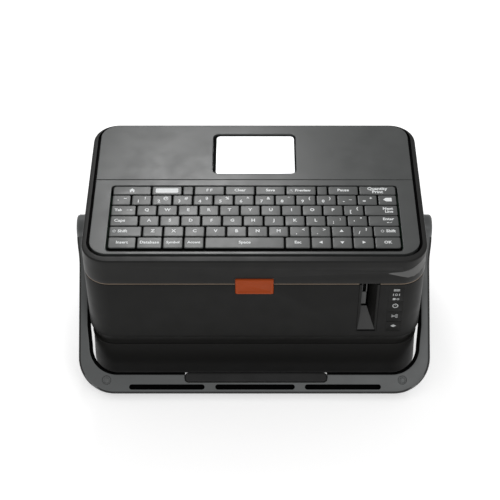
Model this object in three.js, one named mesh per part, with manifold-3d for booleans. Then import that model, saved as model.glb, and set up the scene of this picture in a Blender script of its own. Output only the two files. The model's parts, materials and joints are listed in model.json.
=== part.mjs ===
// Portable label maker with a keyboard lid, a battery base and a folding carry handle.
// Millimetres, +X to the right, +Y to the rear, +Z up; the origin is on the floor, under the middle
// of the whole object with its handle folded down in front.
import * as THREE from "three";
import { ConvexGeometry } from "three/addons/geometries/ConvexGeometry.js";
import { mergeVertices } from "three/addons/utils/BufferGeometryUtils.js";
import Module from "manifold-3d";

const wasm = await Module();
wasm.setup();

// Body outline, seen from above
const WIDTH = 312;
const DEPTH = 188;
const CORNER = 24;
const BODY_Y = 12.5;
const FRONT = BODY_Y - DEPTH / 2;
const REAR = BODY_Y + DEPTH / 2;
const WALL = 2.5;
const GAP = 0.3;
const ARC_STEPS = 3;

// Heights
const BASE_BOTTOM = 2;
const BASE_TOP = 46.4;
const SHELL_BOTTOM = 46.9;
const SHELL_FLOOR = 49.4;
const SEAM = 130.3;
const SHELL_TOP = SEAM - GAP;
const LID_BOTTOM = SEAM + GAP;
const RIM_TOP = 159.5;
const PANEL_TOP = 160.7;
const PLATE = { bottom: PANEL_TOP - 7, top: PANEL_TOP - 5 };
const PANEL_BOTTOM = PLATE.top + GAP;
const LINER = { bottom: 138.1, top: 140.1 };

// Base
const BASE_INSET = { top: 2.3, bottom: 0.8 };
const FOOT = { radius: 9, x: 125, y: 65 };
const BATTERY = { x: 62, front: -28, rear: 44, bottom: 7, top: 42 };

// Raised top panels
const PANEL = { x: 149, front: FRONT + 8.7, rear: REAR - 2.5, corner: 17, bevel: 0.8 };
const GROOVE = { side: 2.8, front: 2.1, rear: 0.8 };
const PANEL_SPLIT = FRONT + 106.9;
const SCREEN = { x: 39.9, front: FRONT + 115.8, rear: FRONT + 172.8, corner: 5.5 };
const SCREEN_TOP = PANEL_TOP - 2;

// Keyboard: every row is read from the left, as [piece, width]; keys of one piece are moulded together.
// A width of 0 fills what is left of the row. The caps fill the key area, which lies in a wider field.
const KEY_FIELD = { x: 133.6, front: FRONT + 14, rear: FRONT + 98.7, corner: 3.5 };
const KEY_AREA = { x: 131.7, front: FRONT + 16.4, rear: FRONT + 97.4, corner: 2.5 };
const KEY_START = { x: -133.35, y: FRONT + 17.35 };
const KEY_PITCH = 19.05;
const KEY_ROW = 13.85;
const KEY_GAP = 1.4;
const KEY_FOOT = PANEL_TOP - 3.8;
const KEY_WEB = { bottom: PANEL_TOP - 4.3, top: PANEL_TOP - 3.5, depth: 6 };
const KEY_BOARD = { bottom: PANEL_TOP - 9, top: PANEL_TOP - 7.4, margin: 4.5 };
const KEY_BEVEL = 0.5;
const FILLER = "filler";
const letters = (piece, count) => Array.from({ length: count }, () => [piece, KEY_PITCH]);
const KEY_ROWS = [
  [
    ...[["keys_bottom_left", 27.1], ["keys_bottom_left", 23.4], ["keys_bottom_left", 18.9]],
    ...[["keys_bottom_left", 18.9], ["key_space", 72.5], ["keys_arrows", 23.4]],
    ...[["keys_arrows", 18.9], ["keys_arrows", 18.9], ["keys_arrows", 19.5], ["key_ok", 0]],
  ],
  [["key_shift_left", 31.5], ...letters("keys_lower", 11), ["key_shift_right", 0]],
  [["keys_home_row", 27.5], ...letters("keys_home_row", 11), ["key_enter", 0]],
  [["keys_upper", 24.7], ...letters("keys_upper", 11), ["keys_upper", 0]],
  [...letters("keys_digits", 13), ["key_backspace", 0]],
  [
    ...[["key_home", 37.3], ["keys_function", 28.8], [FILLER, 10.7], ["keys_function", 29]],
    ...[["keys_function", 28.3], ["keys_function", 28.4], ["keys_function", 28.8]],
    ...[[FILLER, 10.5], ["keys_function", 28.9], ["key_print", 0]],
  ],
];

// Lid hinge, along X at the rear seam
const HINGE = { y: REAR, z: SEAM, radius: 4, pin: 1.6, x: 95, lidHalf: 10, shellHalf: 22 };

// Orange release button, across the front seam
const RELEASE = { x: 17.35, bottom: 118.4, top: 137.4, proud: 1.4, thick: 3.5 };

// Label outlet, in the front of the lower shell
const OUTLET = { left: 95, right: 114, bottom: 66.5, slot: 103, depth: 14 };

// Push buttons and indicator lens beside it
const BUTTON = { left: 122.2, right: 136.6, bottom: 66.1, pitch: 13.5, top: 106.4, depth: 6 };
const LENS = { bottom: 106.9, top: 126.4 };

// Carry handle: a bail that turns about X; reach is measured from the pivot in the plane of the bail
const HANDLE = {
  pivotZ: 110.5,
  tilt: 41.6,
  outer: 159,
  inner: 139,
  thick: 16,
  armInner: 157,
  armOuter: 167.3,
  bossOuter: 169.8,
  bossRadius: 12.5,
  outerCorner: 34.5,
  innerCorner: 27,
  cornerInner: 154,
  step: 112,
  bevel: 3,
};
const GRIP = { left: -66.5, right: 69.5, outer: 148.5 };
const BAR_SLOTS = [[-119, -47.3], [-37.2, 38.4], [47.9, 120.2]];
const BAR_SLOT = { reach: 152.6, width: 5, depth: 8 };
const CAP = { x: 140.5, reach: 146, radius: 4, thick: 1.2 };
const PIVOT = { radius: 6, end: 164.6, flange: 8 };

// Inner deck with its two cassette bays
const DECK = { bottom: 120, top: 122.5, inset: 2.9, wall: 1.5 };
const TAPE_BAY = { left: 25.5, right: 120.5, front: -66, rear: 59, floor: 80.5 };
const RIBBON_BAY = { left: -112, right: -38, front: -43.5, rear: 40.5, floor: 89.5 };
const CASSETTE_TOP = 125;

// Feed drive: a motor pinion turns the gear under the platen roller
const GEAR = { module: 1.1, platenTeeth: 24, pinionTeeth: 12, bottom: 71, top: 77 };
const PLATEN = { x: 109.7, y: -27.5, radius: 6, shaft: 2, bottom: 83, top: 120 };
const DRIVE_ANGLE = Math.PI / 4;
const GEAR_SPACING = (GEAR.module * (GEAR.platenTeeth + GEAR.pinionTeeth)) / 2;
const MOTOR = {
  x: PLATEN.x + GEAR_SPACING * Math.cos(DRIVE_ANGLE),
  y: PLATEN.y + GEAR_SPACING * Math.sin(DRIVE_ANGLE),
  radius: 17,
  bottom: 50,
  top: 67.5,
};

// Rear sockets
const PORTS = { left: 60, right: 120, bottom: 63, top: 87, inner: REAR - WALL };
const DC = { x: 75, z: 74, half: 7, bore: 3.2, pin: 1, front: REAR - 16 };
const USB = { x: 100, z: 74, halfWidth: 6, halfHeight: 5.5, front: REAR - 18 };

const MATERIALS = {
  top: { color: 0x5f6262, roughness: 0.5 },
  shell: { color: 0x2b2b29, roughness: 0.55 },
  base: { color: 0x232322, roughness: 0.6 },
  key: { color: 0x666969, roughness: 0.6 },
  handle: { color: 0x535656, roughness: 0.45 },
  rubber: { color: 0x1c1c1c, roughness: 0.9 },
  orange: { color: 0xb8501c, roughness: 0.45 },
  screen: { color: 0xf4f6f6, roughness: 0.15 },
  lens: { color: 0x1b1c1d, roughness: 0.2 },
  board: { color: 0x1f5a34, roughness: 0.5 },
  cassette: { color: 0xc9c9c4, roughness: 0.5 },
  ribbon: { color: 0x3a3f46, roughness: 0.5 },
  steel: { color: 0xb6b9bc, roughness: 0.3, metalness: 0.9 },
  gear: { color: 0xe3e0d6, roughness: 0.5 },
  battery: { color: 0x34363a, roughness: 0.6 },
};
for (const [name, look] of Object.entries(MATERIALS)) {
  MATERIALS[name] = new THREE.MeshStandardMaterial(look);
}

// ---------------------------------------------------------------- shape helpers

function solid(geometry) {
  geometry.deleteAttribute("normal");
  geometry.deleteAttribute("uv");
  const merged = mergeVertices(geometry, 1e-4);
  return new wasm.Manifold(
    new wasm.Mesh({
      numProp: 3,
      vertProperties: merged.attributes.position.array,
      triVerts: new Uint32Array(merged.index.array),
    }),
  );
}

function toMesh(name, shape, material) {
  const made = shape.getMesh();
  const geometry = new THREE.BufferGeometry();
  geometry.setAttribute("position", new THREE.BufferAttribute(made.vertProperties, 3));
  geometry.setIndex(new THREE.BufferAttribute(made.triVerts, 1));
  geometry.computeVertexNormals();
  const mesh = new THREE.Mesh(geometry, material);
  mesh.name = name;
  return mesh;
}

function block(x0, x1, y0, y1, z0, z1) {
  const box = new THREE.BoxGeometry(x1 - x0, y1 - y0, z1 - z0);
  return solid(box.translate((x0 + x1) / 2, (y0 + y1) / 2, (z0 + z1) / 2));
}

function rod(radius, start, end, sides = 20) {
  const from = new THREE.Vector3(...start);
  const axis = new THREE.Vector3(...end).sub(from);
  const tube = new THREE.CylinderGeometry(radius, radius, axis.length(), sides);
  const turn = new THREE.Quaternion().setFromUnitVectors(
    new THREE.Vector3(0, 1, 0),
    axis.clone().normalize(),
  );
  const middle = from.addScaledVector(axis, 0.5);
  return solid(tube.applyQuaternion(turn).translate(middle.x, middle.y, middle.z));
}

function roundedRect(x0, x1, y0, y1, radius) {
  const shape = new THREE.Shape();
  shape.absarc(x1 - radius, y0 + radius, radius, -Math.PI / 2, 0);
  shape.absarc(x1 - radius, y1 - radius, radius, 0, Math.PI / 2);
  shape.absarc(x0 + radius, y1 - radius, radius, Math.PI / 2, Math.PI);
  shape.absarc(x0 + radius, y0 + radius, radius, Math.PI, Math.PI * 1.5);
  return shape;
}

function extrude(shape, bottom, top, bevel = 0, bevelSegments = 1) {
  const geometry = new THREE.ExtrudeGeometry(shape, {
    depth: top - bottom - 2 * bevel,
    bevelEnabled: bevel > 0,
    bevelThickness: bevel,
    bevelSize: bevel,
    bevelOffset: -bevel,
    bevelSegments,
    curveSegments: ARC_STEPS,
  });
  return solid(geometry.translate(0, 0, bottom + bevel));
}

function plate(x0, x1, y0, y1, radius, bottom, top, bevel = 0) {
  return extrude(roundedRect(x0, x1, y0, y1, radius), bottom, top, bevel);
}

// Body-shaped rings, each given as [inset, height], skinned into one closed solid. Rings that climb
// make an outside wall, rings that go down make an inside wall, and the two ends are closed.
function skin(levels) {
  const rings = levels.map(([inset, z]) => {
    const x = WIDTH / 2 - inset;
    const outline = roundedRect(-x, x, FRONT + inset, REAR - inset, CORNER - inset);
    return outline.getPoints(ARC_STEPS).map((p) => [p.x, p.y, z]);
  });
  const count = rings[0].length;
  const index = [];
  for (let ring = 0; ring < rings.length - 1; ring++) {
    for (let i = 0; i < count; i++) {
      const next = (i + 1) % count;
      const a = ring * count;
      const b = a + count;
      index.push(a + i, a + next, b + next, a + i, b + next, b + i);
    }
  }
  const last = (rings.length - 1) * count;
  for (let i = 1; i < count - 1; i++) {
    index.push(0, i + 1, i, last, last + i, last + i + 1);
  }
  const geometry = new THREE.BufferGeometry();
  geometry.setAttribute("position", new THREE.Float32BufferAttribute(rings.flat(2), 3));
  geometry.setIndex(index);
  return solid(geometry);
}

function union(solids) {
  return solids.reduce((sum, next) => sum.add(next));
}

// ---------------------------------------------------------------- base and lower shell

function makeBase() {
  const { top, bottom } = BASE_INSET;
  const floor = BASE_BOTTOM + 3;
  const housing = skin([
    ...[[bottom + 3.4, BASE_BOTTOM], [bottom + 1.4, 2.7], [bottom + 0.4, 4.4], [bottom, 7]],
    ...[[top, BASE_TOP], [top + WALL, BASE_TOP], [bottom + WALL, 8], [bottom + 6, floor]],
  ]);
  const b = BATTERY;
  const doorway = block(-b.x - 4, b.x + 4, b.front - 4, b.rear + 4, 0, floor + 1);
  const door = plate(
    -b.x - 3.7, b.x + 3.7, b.front - 3.7, b.rear + 3.7, 1, BASE_BOTTOM + 0.2, floor - 0.2,
  );
  const pack = plate(-b.x, b.x, b.front, b.rear, 4, b.bottom, b.top, 1.5);
  const feet = [];
  for (const [side, x] of [["left", -FOOT.x], ["right", FOOT.x]]) {
    for (const [end, y] of [["front", BODY_Y - FOOT.y], ["rear", BODY_Y + FOOT.y]]) {
      const foot = rod(FOOT.radius, [x, y, 0], [x, y, BASE_BOTTOM - 0.1], 16);
      feet.push(toMesh(`foot_${end}_${side}`, foot, MATERIALS.rubber));
    }
  }
  return [
    toMesh("base_housing", housing.subtract(doorway), MATERIALS.base),
    toMesh("battery_door", door, MATERIALS.base),
    toMesh("battery_pack", pack, MATERIALS.battery),
    ...feet,
  ];
}

function hingeRods(radius, ranges) {
  return union(
    ranges.map(([from, to]) => rod(radius, [from, HINGE.y, HINGE.z], [to, HINGE.y, HINGE.z])),
  );
}

// X ranges of the lid's and the shell's knuckles, each widened by clear at both ends
function lidKnuckles(clear) {
  const half = HINGE.lidHalf + clear;
  return [-HINGE.x, HINGE.x].map((x) => [x - half, x + half]);
}

function shellKnuckles(clear) {
  const near = HINGE.lidHalf + GAP - clear;
  const far = HINGE.shellHalf + clear;
  return [-HINGE.x, HINGE.x].flatMap((x) => [[x - far, x - near], [x + near, x + far]]);
}

function releaseCut() {
  const x = RELEASE.x + GAP;
  return block(-x, x, FRONT - 1, FRONT + WALL + 1, RELEASE.bottom - GAP, RELEASE.top + GAP);
}

function shellOutside(top) {
  return [[2.6, SHELL_BOTTOM], [2.3, 50.6], [1.6, 54], [0.7, 57], [0, 59.2], [0, top]];
}

function makeLowerShell() {
  let shell = skin([
    ...shellOutside(SHELL_TOP),
    ...[[WALL, SHELL_TOP], [WALL, 60], [3.4, 56.5], [4.8, 52.5], [5.6, SHELL_FLOOR]],
  ]);
  shell = shell.subtract(hingeRods(HINGE.radius + 0.4, lidKnuckles(GAP)));
  shell = shell.add(hingeRods(HINGE.radius, shellKnuckles(0)));
  shell = shell.subtract(hingeRods(HINGE.pin + GAP, [[-WIDTH / 2, WIDTH / 2]]));
  const deep = FRONT + 10;
  const cuts = [
    releaseCut(),
    block(OUTLET.left, OUTLET.right, FRONT - 1, deep, OUTLET.bottom, SEAM),
    block(BUTTON.left, BUTTON.right, FRONT - 1, deep, BUTTON.bottom, BUTTON.top),
    block(BUTTON.left, BUTTON.right, FRONT - 1, deep, LENS.bottom, LENS.top),
    block(PORTS.left, PORTS.right, PORTS.inner - 1, REAR + 1, PORTS.bottom, PORTS.top),
    rod(PIVOT.radius + 0.2, [-WIDTH, BODY_Y, HANDLE.pivotZ], [WIDTH, BODY_Y, HANDLE.pivotZ]),
  ];
  return toMesh("lower_shell", shell.subtract(union(cuts)), MATERIALS.shell);
}

function makePins() {
  const made = [];
  for (const [side, sign] of [["left", -1], ["right", 1]]) {
    const at = (x) => [sign * x, BODY_Y, HANDLE.pivotZ];
    const inside = WIDTH / 2 - WALL - GAP;
    const pivot = rod(PIVOT.radius, at(inside - 3), at(PIVOT.end));
    const flange = rod(PIVOT.flange, at(inside - 2.5), at(inside));
    made.push(toMesh(`pivot_pin_${side}`, pivot.add(flange), MATERIALS.steel));
    const hingeAt = (x) => [sign * HINGE.x + x, HINGE.y, HINGE.z];
    const half = HINGE.shellHalf;
    const pin = rod(HINGE.pin, hingeAt(-half), hingeAt(half), 12);
    made.push(toMesh(`hinge_pin_${side}`, pin, MATERIALS.steel));
  }
  return made;
}

// ---------------------------------------------------------------- front: outlet, buttons, latch

function makeOutlet() {
  const o = OUTLET;
  const front = FRONT - 1;
  const back = FRONT + 8.5;
  const above = SEAM + 10;
  const guide = block(
    o.left + GAP, o.right - GAP, FRONT, FRONT + o.depth, o.bottom + GAP, SHELL_TOP - GAP,
  );
  const funnel = solid(
    new ConvexGeometry(
      [
        ...[[95.9, front, 67.5], [113.1, front, 67.5], [95.9, front, above], [113.1, front, above]],
        ...[[100, back, 88], [106.5, back, 88], [100, back, above], [106.5, back, above]],
      ].map((p) => new THREE.Vector3(...p)),
    ),
  );
  const slot = block(o.slot - 1.7, o.slot + 1.7, back - 1, FRONT + o.depth + 1, 93, above);
  return toMesh("outlet_guide", guide.subtract(funnel).subtract(slot), MATERIALS.shell);
}

// A flush piece: the part of the shell's outer form that lies inside a box in its front wall
function flushPiece(name, bottom, top, material) {
  const b = BUTTON;
  const box = block(b.left + GAP, b.right - GAP, FRONT - 1, FRONT + b.depth, bottom, top);
  return toMesh(name, box.intersect(skin(shellOutside(SHELL_TOP))), material);
}

function makeButtons() {
  const names = ["feed_button", "cut_button", "power_button"];
  const buttons = names.map((name, i) => {
    const bottom = BUTTON.bottom + GAP + i * BUTTON.pitch;
    const top = Math.min(bottom + BUTTON.pitch - GAP, BUTTON.top - GAP);
    return flushPiece(name, bottom, top, MATERIALS.shell);
  });
  const lens = flushPiece("indicator_lens", LENS.bottom + GAP, LENS.top - GAP, MATERIALS.lens);
  return [...buttons, lens];
}

// A shape drawn as seen from the front, extruded from front to rear
function extrudeBack(shape, front, rear, bevel = 0) {
  return extrude(shape, -rear, -front, bevel).rotate([90, 0, 0]);
}

function makeRelease() {
  const r = RELEASE;
  const outline = roundedRect(-r.x, r.x, r.bottom, r.top, 1.5);
  const cap = extrudeBack(outline, FRONT - r.proud, FRONT - r.proud + r.thick, 0.5);
  const stem = block(-10, 10, FRONT + 1, FRONT + 9, r.bottom + 2, r.bottom + 12);
  return toMesh("release_button", cap.add(stem), MATERIALS.orange);
}

function makeLatch() {
  const hook = LINER.bottom - GAP;
  const bar = block(-20, 20, FRONT + 5.2, FRONT + 8, hook - 3.7, hook);
  const tongues = [-17, 17].map((x) => {
    return block(x - 3, x + 3, FRONT + 5.2, FRONT + 8, hook - 19, hook - 3);
  });
  const plateBack = block(-22, 22, FRONT + 13, FRONT + 16, hook - 29, hook - 8);
  const ledge = block(-22, 22, FRONT + 8.5, FRONT + 14, hook - 25, hook - 20);
  return [
    toMesh("latch_hook", union([bar, ...tongues]), MATERIALS.steel),
    toMesh("latch_catch", plateBack.add(ledge), MATERIALS.steel),
  ];
}

// ---------------------------------------------------------------- inside the lower shell

function bay(area) {
  const { left, right, front, rear, floor } = area;
  const w = DECK.wall;
  const bottom = floor - 2;
  return {
    walls: block(left - w, right + w, front - w, rear + w, bottom, DECK.bottom + 0.5),
    hollow: block(left, right, front, rear, floor, DECK.top + 1),
  };
}

function makeDeck() {
  const board = skin([[DECK.inset, DECK.bottom], [DECK.inset, DECK.top]]);
  const tape = bay(TAPE_BAY);
  const ribbon = bay(RIBBON_BAY);
  const t = TAPE_BAY;
  const low = DECK.bottom - 1;
  const high = DECK.top + 1;
  const cuts = [
    tape.hollow,
    ribbon.hollow,
    block(-22.5, 22.5, FRONT - 1, FRONT + 16.4, low, high),
    block(OUTLET.left - 0.2, OUTLET.right + 0.2, FRONT - 1, FRONT + 14.3, low, high),
    block(BUTTON.left - 0.4, BUTTON.right + 0.4, FRONT - 1, FRONT + 6.4, low, high),
    block(OUTLET.slot - 3, OUTLET.slot + 3, t.front - 2.5, t.front + 0.5, t.floor + 3.5, high),
    rod(PLATEN.shaft + GAP, [PLATEN.x, PLATEN.y, t.floor - 6], [PLATEN.x, PLATEN.y, t.floor + 4]),
  ];
  const deck = union([board, tape.walls, ribbon.walls]).subtract(union(cuts));
  return toMesh("inner_deck", deck, MATERIALS.base);
}

function makeCassettes() {
  const tape = plate(27, 97, -45.5, 56.5, 6, TAPE_BAY.floor + GAP, CASSETTE_TOP, 1.2);
  const spool = rod(21, [62, 20.5, CASSETTE_TOP - 1.5], [62, 20.5, CASSETTE_TOP + 1]);
  const pocket = block(88, 98, -31.5, -11.5, 70, CASSETTE_TOP + 1);
  const r = RIBBON_BAY;
  const ribbon = plate(
    r.left + 2, r.right - 2, r.front + 2, r.rear - 2, 5, r.floor + GAP, CASSETTE_TOP, 1.2,
  );
  return [
    toMesh("tape_cassette", tape.subtract(spool).subtract(pocket), MATERIALS.cassette),
    toMesh("ribbon_cassette", ribbon, MATERIALS.ribbon),
  ];
}

function makePrintHead() {
  const floor = TAPE_BAY.floor + GAP;
  const head = block(99.4, 102.6, PLATEN.y - 7, PLATEN.y + 7, floor, PLATEN.top + 1);
  const sink = block(90, 99.6, PLATEN.y - 2, PLATEN.y + 13, floor, floor + 30);
  return toMesh("print_head", head.add(sink), MATERIALS.steel);
}

function makeCutter() {
  const blade = new THREE.Shape();
  blade.moveTo(107, 88);
  blade.lineTo(118.5, 88);
  blade.lineTo(118.5, 122);
  blade.lineTo(110, 122);
  return toMesh("cutter_blade", extrudeBack(blade, -58.5, -56.5), MATERIALS.steel);
}

// Involute spur gear; a tooth points along phase
function gearShape(teeth, phase) {
  const pressure = THREE.MathUtils.degToRad(20);
  const pitch = (GEAR.module * teeth) / 2;
  const base = pitch * Math.cos(pressure);
  const tip = pitch + 0.8 * GEAR.module;
  const root = pitch - 1.2 * GEAR.module;
  const involute = (angle) => Math.tan(angle) - angle;
  const halfAtPitch = (Math.PI / teeth / 2) * 0.84;
  const half = (radius) => {
    const angle = Math.acos(Math.min(1, base / radius));
    return halfAtPitch + involute(pressure) - involute(angle);
  };
  const foot = half(Math.max(base, root)) * 0.9;
  const flank = [[root, foot], [pitch, half(pitch)], [tip, half(tip)]];
  const points = [];
  for (let tooth = 0; tooth < teeth; tooth++) {
    const middle = phase + (2 * Math.PI * tooth) / teeth;
    for (const [radius, angle] of flank) {
      points.push([radius, middle - angle]);
    }
    for (const [radius, angle] of [...flank].reverse()) {
      points.push([radius, middle + angle]);
    }
  }
  return new THREE.Shape(
    points.map(([r, a]) => new THREE.Vector2(r * Math.cos(a), r * Math.sin(a))),
  );
}

function makeDrive() {
  const at = (z) => [PLATEN.x, PLATEN.y, z];
  const shaft = rod(PLATEN.shaft, at(GEAR.bottom - 2.5), at(PLATEN.top + 3), 12);
  const bore = rod(PLATEN.shaft + 0.05, at(60), at(130), 12);
  const roller = rod(PLATEN.radius, at(PLATEN.bottom), at(PLATEN.top), 24).subtract(bore);
  const platenGear = extrude(gearShape(GEAR.platenTeeth, DRIVE_ANGLE), GEAR.bottom, GEAR.top);
  const pinionPhase = DRIVE_ANGLE + Math.PI + Math.PI / GEAR.pinionTeeth;
  const pinionGear = extrude(gearShape(GEAR.pinionTeeth, pinionPhase), GEAR.bottom, GEAR.top);
  const motor = rod(MOTOR.radius, [MOTOR.x, MOTOR.y, MOTOR.bottom], [MOTOR.x, MOTOR.y, MOTOR.top]);
  const nose = rod(4.5, [MOTOR.x, MOTOR.y, MOTOR.top - 1], [MOTOR.x, MOTOR.y, MOTOR.top + 1.5]);
  const stub = rod(1.5, [0, 0, MOTOR.top + 1.8], [0, 0, GEAR.bottom + 1], 12);
  const gearMesh = toMesh(
    "platen_gear",
    platenGear.subtract(rod(PLATEN.shaft + 0.05, [0, 0, 60], [0, 0, 80], 12)),
    MATERIALS.gear,
  );
  gearMesh.position.set(PLATEN.x, PLATEN.y, 0);
  const pinion = toMesh("motor_pinion", pinionGear.add(stub), MATERIALS.gear);
  pinion.position.set(MOTOR.x, MOTOR.y, 0);
  return [
    toMesh("platen_shaft", shaft, MATERIALS.steel),
    toMesh("platen_roller", roller, MATERIALS.rubber),
    gearMesh,
    pinion,
    toMesh("feed_motor", motor.add(nose), MATERIALS.steel),
  ];
}

function makeElectronics() {
  const board = plate(-145, 95, -61.5, 83.5, 3, SHELL_FLOOR + 2, SHELL_FLOOR + 3.6);
  const p = PORTS;
  const d = DC;
  const u = USB;
  const dcHole = rod(4.5, [d.x, REAR - 5, d.z], [d.x, REAR + 1, d.z]);
  const usbHole = block(u.x - 6.2, u.x + 6.2, REAR - 5, REAR + 1, u.z - 5.7, u.z + 5.7);
  const panel = block(
    p.left + GAP, p.right - GAP, p.inner + 0.1, REAR - 0.6, p.bottom + GAP, p.top - GAP,
  );
  const face = p.inner - 0.2;
  const jack = block(d.x - d.half, d.x + d.half, d.front, face, d.z - d.half, d.z + d.half);
  const barrel = rod(d.bore, [d.x, d.front + 3, d.z], [d.x, REAR, d.z], 12);
  const pin = rod(d.pin, [d.x, d.front + 2, d.z], [d.x, face - 0.5, d.z], 6);
  const usb = block(
    u.x - u.halfWidth, u.x + u.halfWidth, u.front, face, u.z - u.halfHeight, u.z + u.halfHeight,
  );
  const mouth = block(u.x - 4.3, u.x + 4.3, u.front + 5, REAR, u.z - 4, u.z + 4);
  const tongue = block(u.x - 2.8, u.x + 2.8, u.front + 4, face - 1, u.z - 1.6, u.z + 1.6);
  return [
    toMesh("main_board", board, MATERIALS.board),
    toMesh("port_plate", panel.subtract(dcHole).subtract(usbHole), MATERIALS.base),
    toMesh("dc_jack", jack.subtract(barrel).add(pin), MATERIALS.rubber),
    toMesh("usb_port", usb.subtract(mouth).add(tongue), MATERIALS.steel),
  ];
}

// ---------------------------------------------------------------- lid

function makeLidCover() {
  let cover = skin([
    ...[[WALL, PLATE.bottom], [WALL, LID_BOTTOM], [0, LID_BOTTOM]],
    ...[[0, RIM_TOP - 1.4], [0.4, RIM_TOP - 0.4], [1.4, RIM_TOP]],
  ]);
  const x = PANEL.x + GROOVE.side;
  const front = PANEL.front - GROOVE.front;
  const rear = PANEL.rear + GROOVE.rear;
  const f = KEY_FIELD;
  const s = SCREEN;
  const low = PLATE.bottom - 1;
  const cuts = [
    plate(-x, x, front, rear, PANEL.corner + 1, PLATE.top, RIM_TOP + 1),
    block(-f.x - 1, f.x + 1, f.front - 1, f.rear + 1, low, PLATE.top + 1),
    block(-s.x - 4, s.x + 4, s.front - 4, s.rear + 4, low, PLATE.top + 1),
    releaseCut(),
    hingeRods(HINGE.radius + 0.4, shellKnuckles(GAP)),
  ];
  cover = cover.subtract(union(cuts));
  cover = cover.add(hingeRods(HINGE.radius, lidKnuckles(0)));
  cover = cover.subtract(hingeRods(HINGE.pin + GAP, [[-WIDTH / 2, WIDTH / 2]]));
  return toMesh("lid_cover", cover, MATERIALS.top);
}

// Blank spacers of the function row: each stands over the key web and hangs on the recess's rear wall
function fillerPosts() {
  const row = KEY_ROWS.length - 1;
  const cells = rowCells(row).filter((cell) => cell.piece === FILLER);
  return cells.map(({ left, right, front, rear }) => {
    const post = block(left, right, front, rear, KEY_WEB.top + GAP, PANEL_TOP - 0.1);
    const high = PANEL_TOP - 2;
    const arm = block(left + 1, right - 1, rear - 1, KEY_FIELD.rear + 1, PANEL_BOTTOM, high);
    return post.add(arm);
  });
}

function makePanels() {
  const p = PANEL;
  const below = PANEL_BOTTOM - 3;
  const outline = plate(-p.x, p.x, p.front, p.rear, p.corner, below, PANEL_TOP, p.bevel);
  const top = outline.subtract(block(-WIDTH, WIDTH, -WIDTH, WIDTH, below - 1, PANEL_BOTTOM));
  const behind = block(-WIDTH, WIDTH, PANEL_SPLIT - 0.25, WIDTH, below, PANEL_TOP + 1);
  const ahead = block(-WIDTH, WIDTH, -WIDTH, PANEL_SPLIT + 0.25, below, PANEL_TOP + 1);
  const f = KEY_FIELD;
  const s = SCREEN;
  const field = plate(-f.x, f.x, f.front, f.rear, f.corner, below, PANEL_TOP + 1);
  const window = plate(-s.x, s.x, s.front, s.rear, s.corner, below, PANEL_TOP + 1);
  const glass = plate(
    -s.x + GAP, s.x - GAP, s.front + GAP, s.rear - GAP, s.corner - GAP, SCREEN_TOP - 2, SCREEN_TOP,
  );
  const module = block(
    -s.x - 3, s.x + 3, s.front - 3, s.rear + 3, PLATE.bottom - 6, PLATE.top - 0.1,
  );
  const keyboard = union([top.subtract(behind).subtract(field), ...fillerPosts()]);
  const m = KEY_BOARD.margin;
  const board = plate(
    -f.x - m, f.x + m, f.front - m, f.rear + m, 2, KEY_BOARD.bottom, KEY_BOARD.top,
  );
  const liner = skin([[DECK.inset, LINER.bottom], [DECK.inset, LINER.top]]);
  return [
    toMesh("keyboard_panel", keyboard, MATERIALS.top),
    toMesh("display_panel", top.subtract(ahead).subtract(window), MATERIALS.top),
    toMesh("display_window", glass, MATERIALS.screen),
    toMesh("display_module", module, MATERIALS.steel),
    toMesh("keyboard_board", board, MATERIALS.board),
    toMesh("lid_liner", liner, MATERIALS.base),
  ];
}

// ---------------------------------------------------------------- keys

// Cells of one row, front row first: the piece that each belongs to and the cap's edges
function rowCells(row) {
  const area = KEY_AREA;
  const start = KEY_START.y + row * KEY_ROW;
  const front = row === 0 ? area.front : start;
  const rear = row === KEY_ROWS.length - 1 ? area.rear : start + KEY_ROW - KEY_GAP;
  const widths = KEY_ROWS[row].map(([, width]) => width);
  const spare = -2 * KEY_START.x - widths.reduce((sum, width) => sum + width);
  let edge = KEY_START.x;
  return KEY_ROWS[row].map(([piece, width]) => {
    const left = Math.max(edge + KEY_GAP / 2, -area.x);
    edge += width || spare;
    const right = Math.min(edge - KEY_GAP / 2, area.x);
    return { piece, left, right, front, rear };
  });
}

function rectangle(x0, x1, y0, y1) {
  const corners = [[x0, y0], [x1, y0], [x1, y1], [x0, y1]];
  return new THREE.Shape(corners.map(([x, y]) => new THREE.Vector2(x, y)));
}

function makeKeys() {
  const a = KEY_AREA;
  const low = KEY_WEB.bottom - 1;
  const area = plate(-a.x, a.x, a.front, a.rear, a.corner, low, PANEL_TOP + 1);
  const pieces = new Map();
  KEY_ROWS.forEach((unused, row) => {
    for (const cell of rowCells(row).filter(({ piece }) => piece !== FILLER)) {
      const { piece, left, right, front, rear } = cell;
      const cap = extrude(rectangle(left, right, front, rear), KEY_FOOT, PANEL_TOP, KEY_BEVEL);
      const entry = pieces.get(piece) ?? { caps: [], left, right, middle: (front + rear) / 2 };
      entry.caps.push(cap);
      entry.right = right;
      pieces.set(piece, entry);
    }
  });
  return [...pieces].map(([name, { caps, left, right, middle }]) => {
    const half = KEY_WEB.depth / 2;
    const web = block(
      left + 1, right - 1, middle - half, middle + half, KEY_WEB.bottom, KEY_WEB.top,
    );
    return toMesh(name, union([web, ...caps]).intersect(area), MATERIALS.key);
  });
}

// ---------------------------------------------------------------- carry handle

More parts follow.
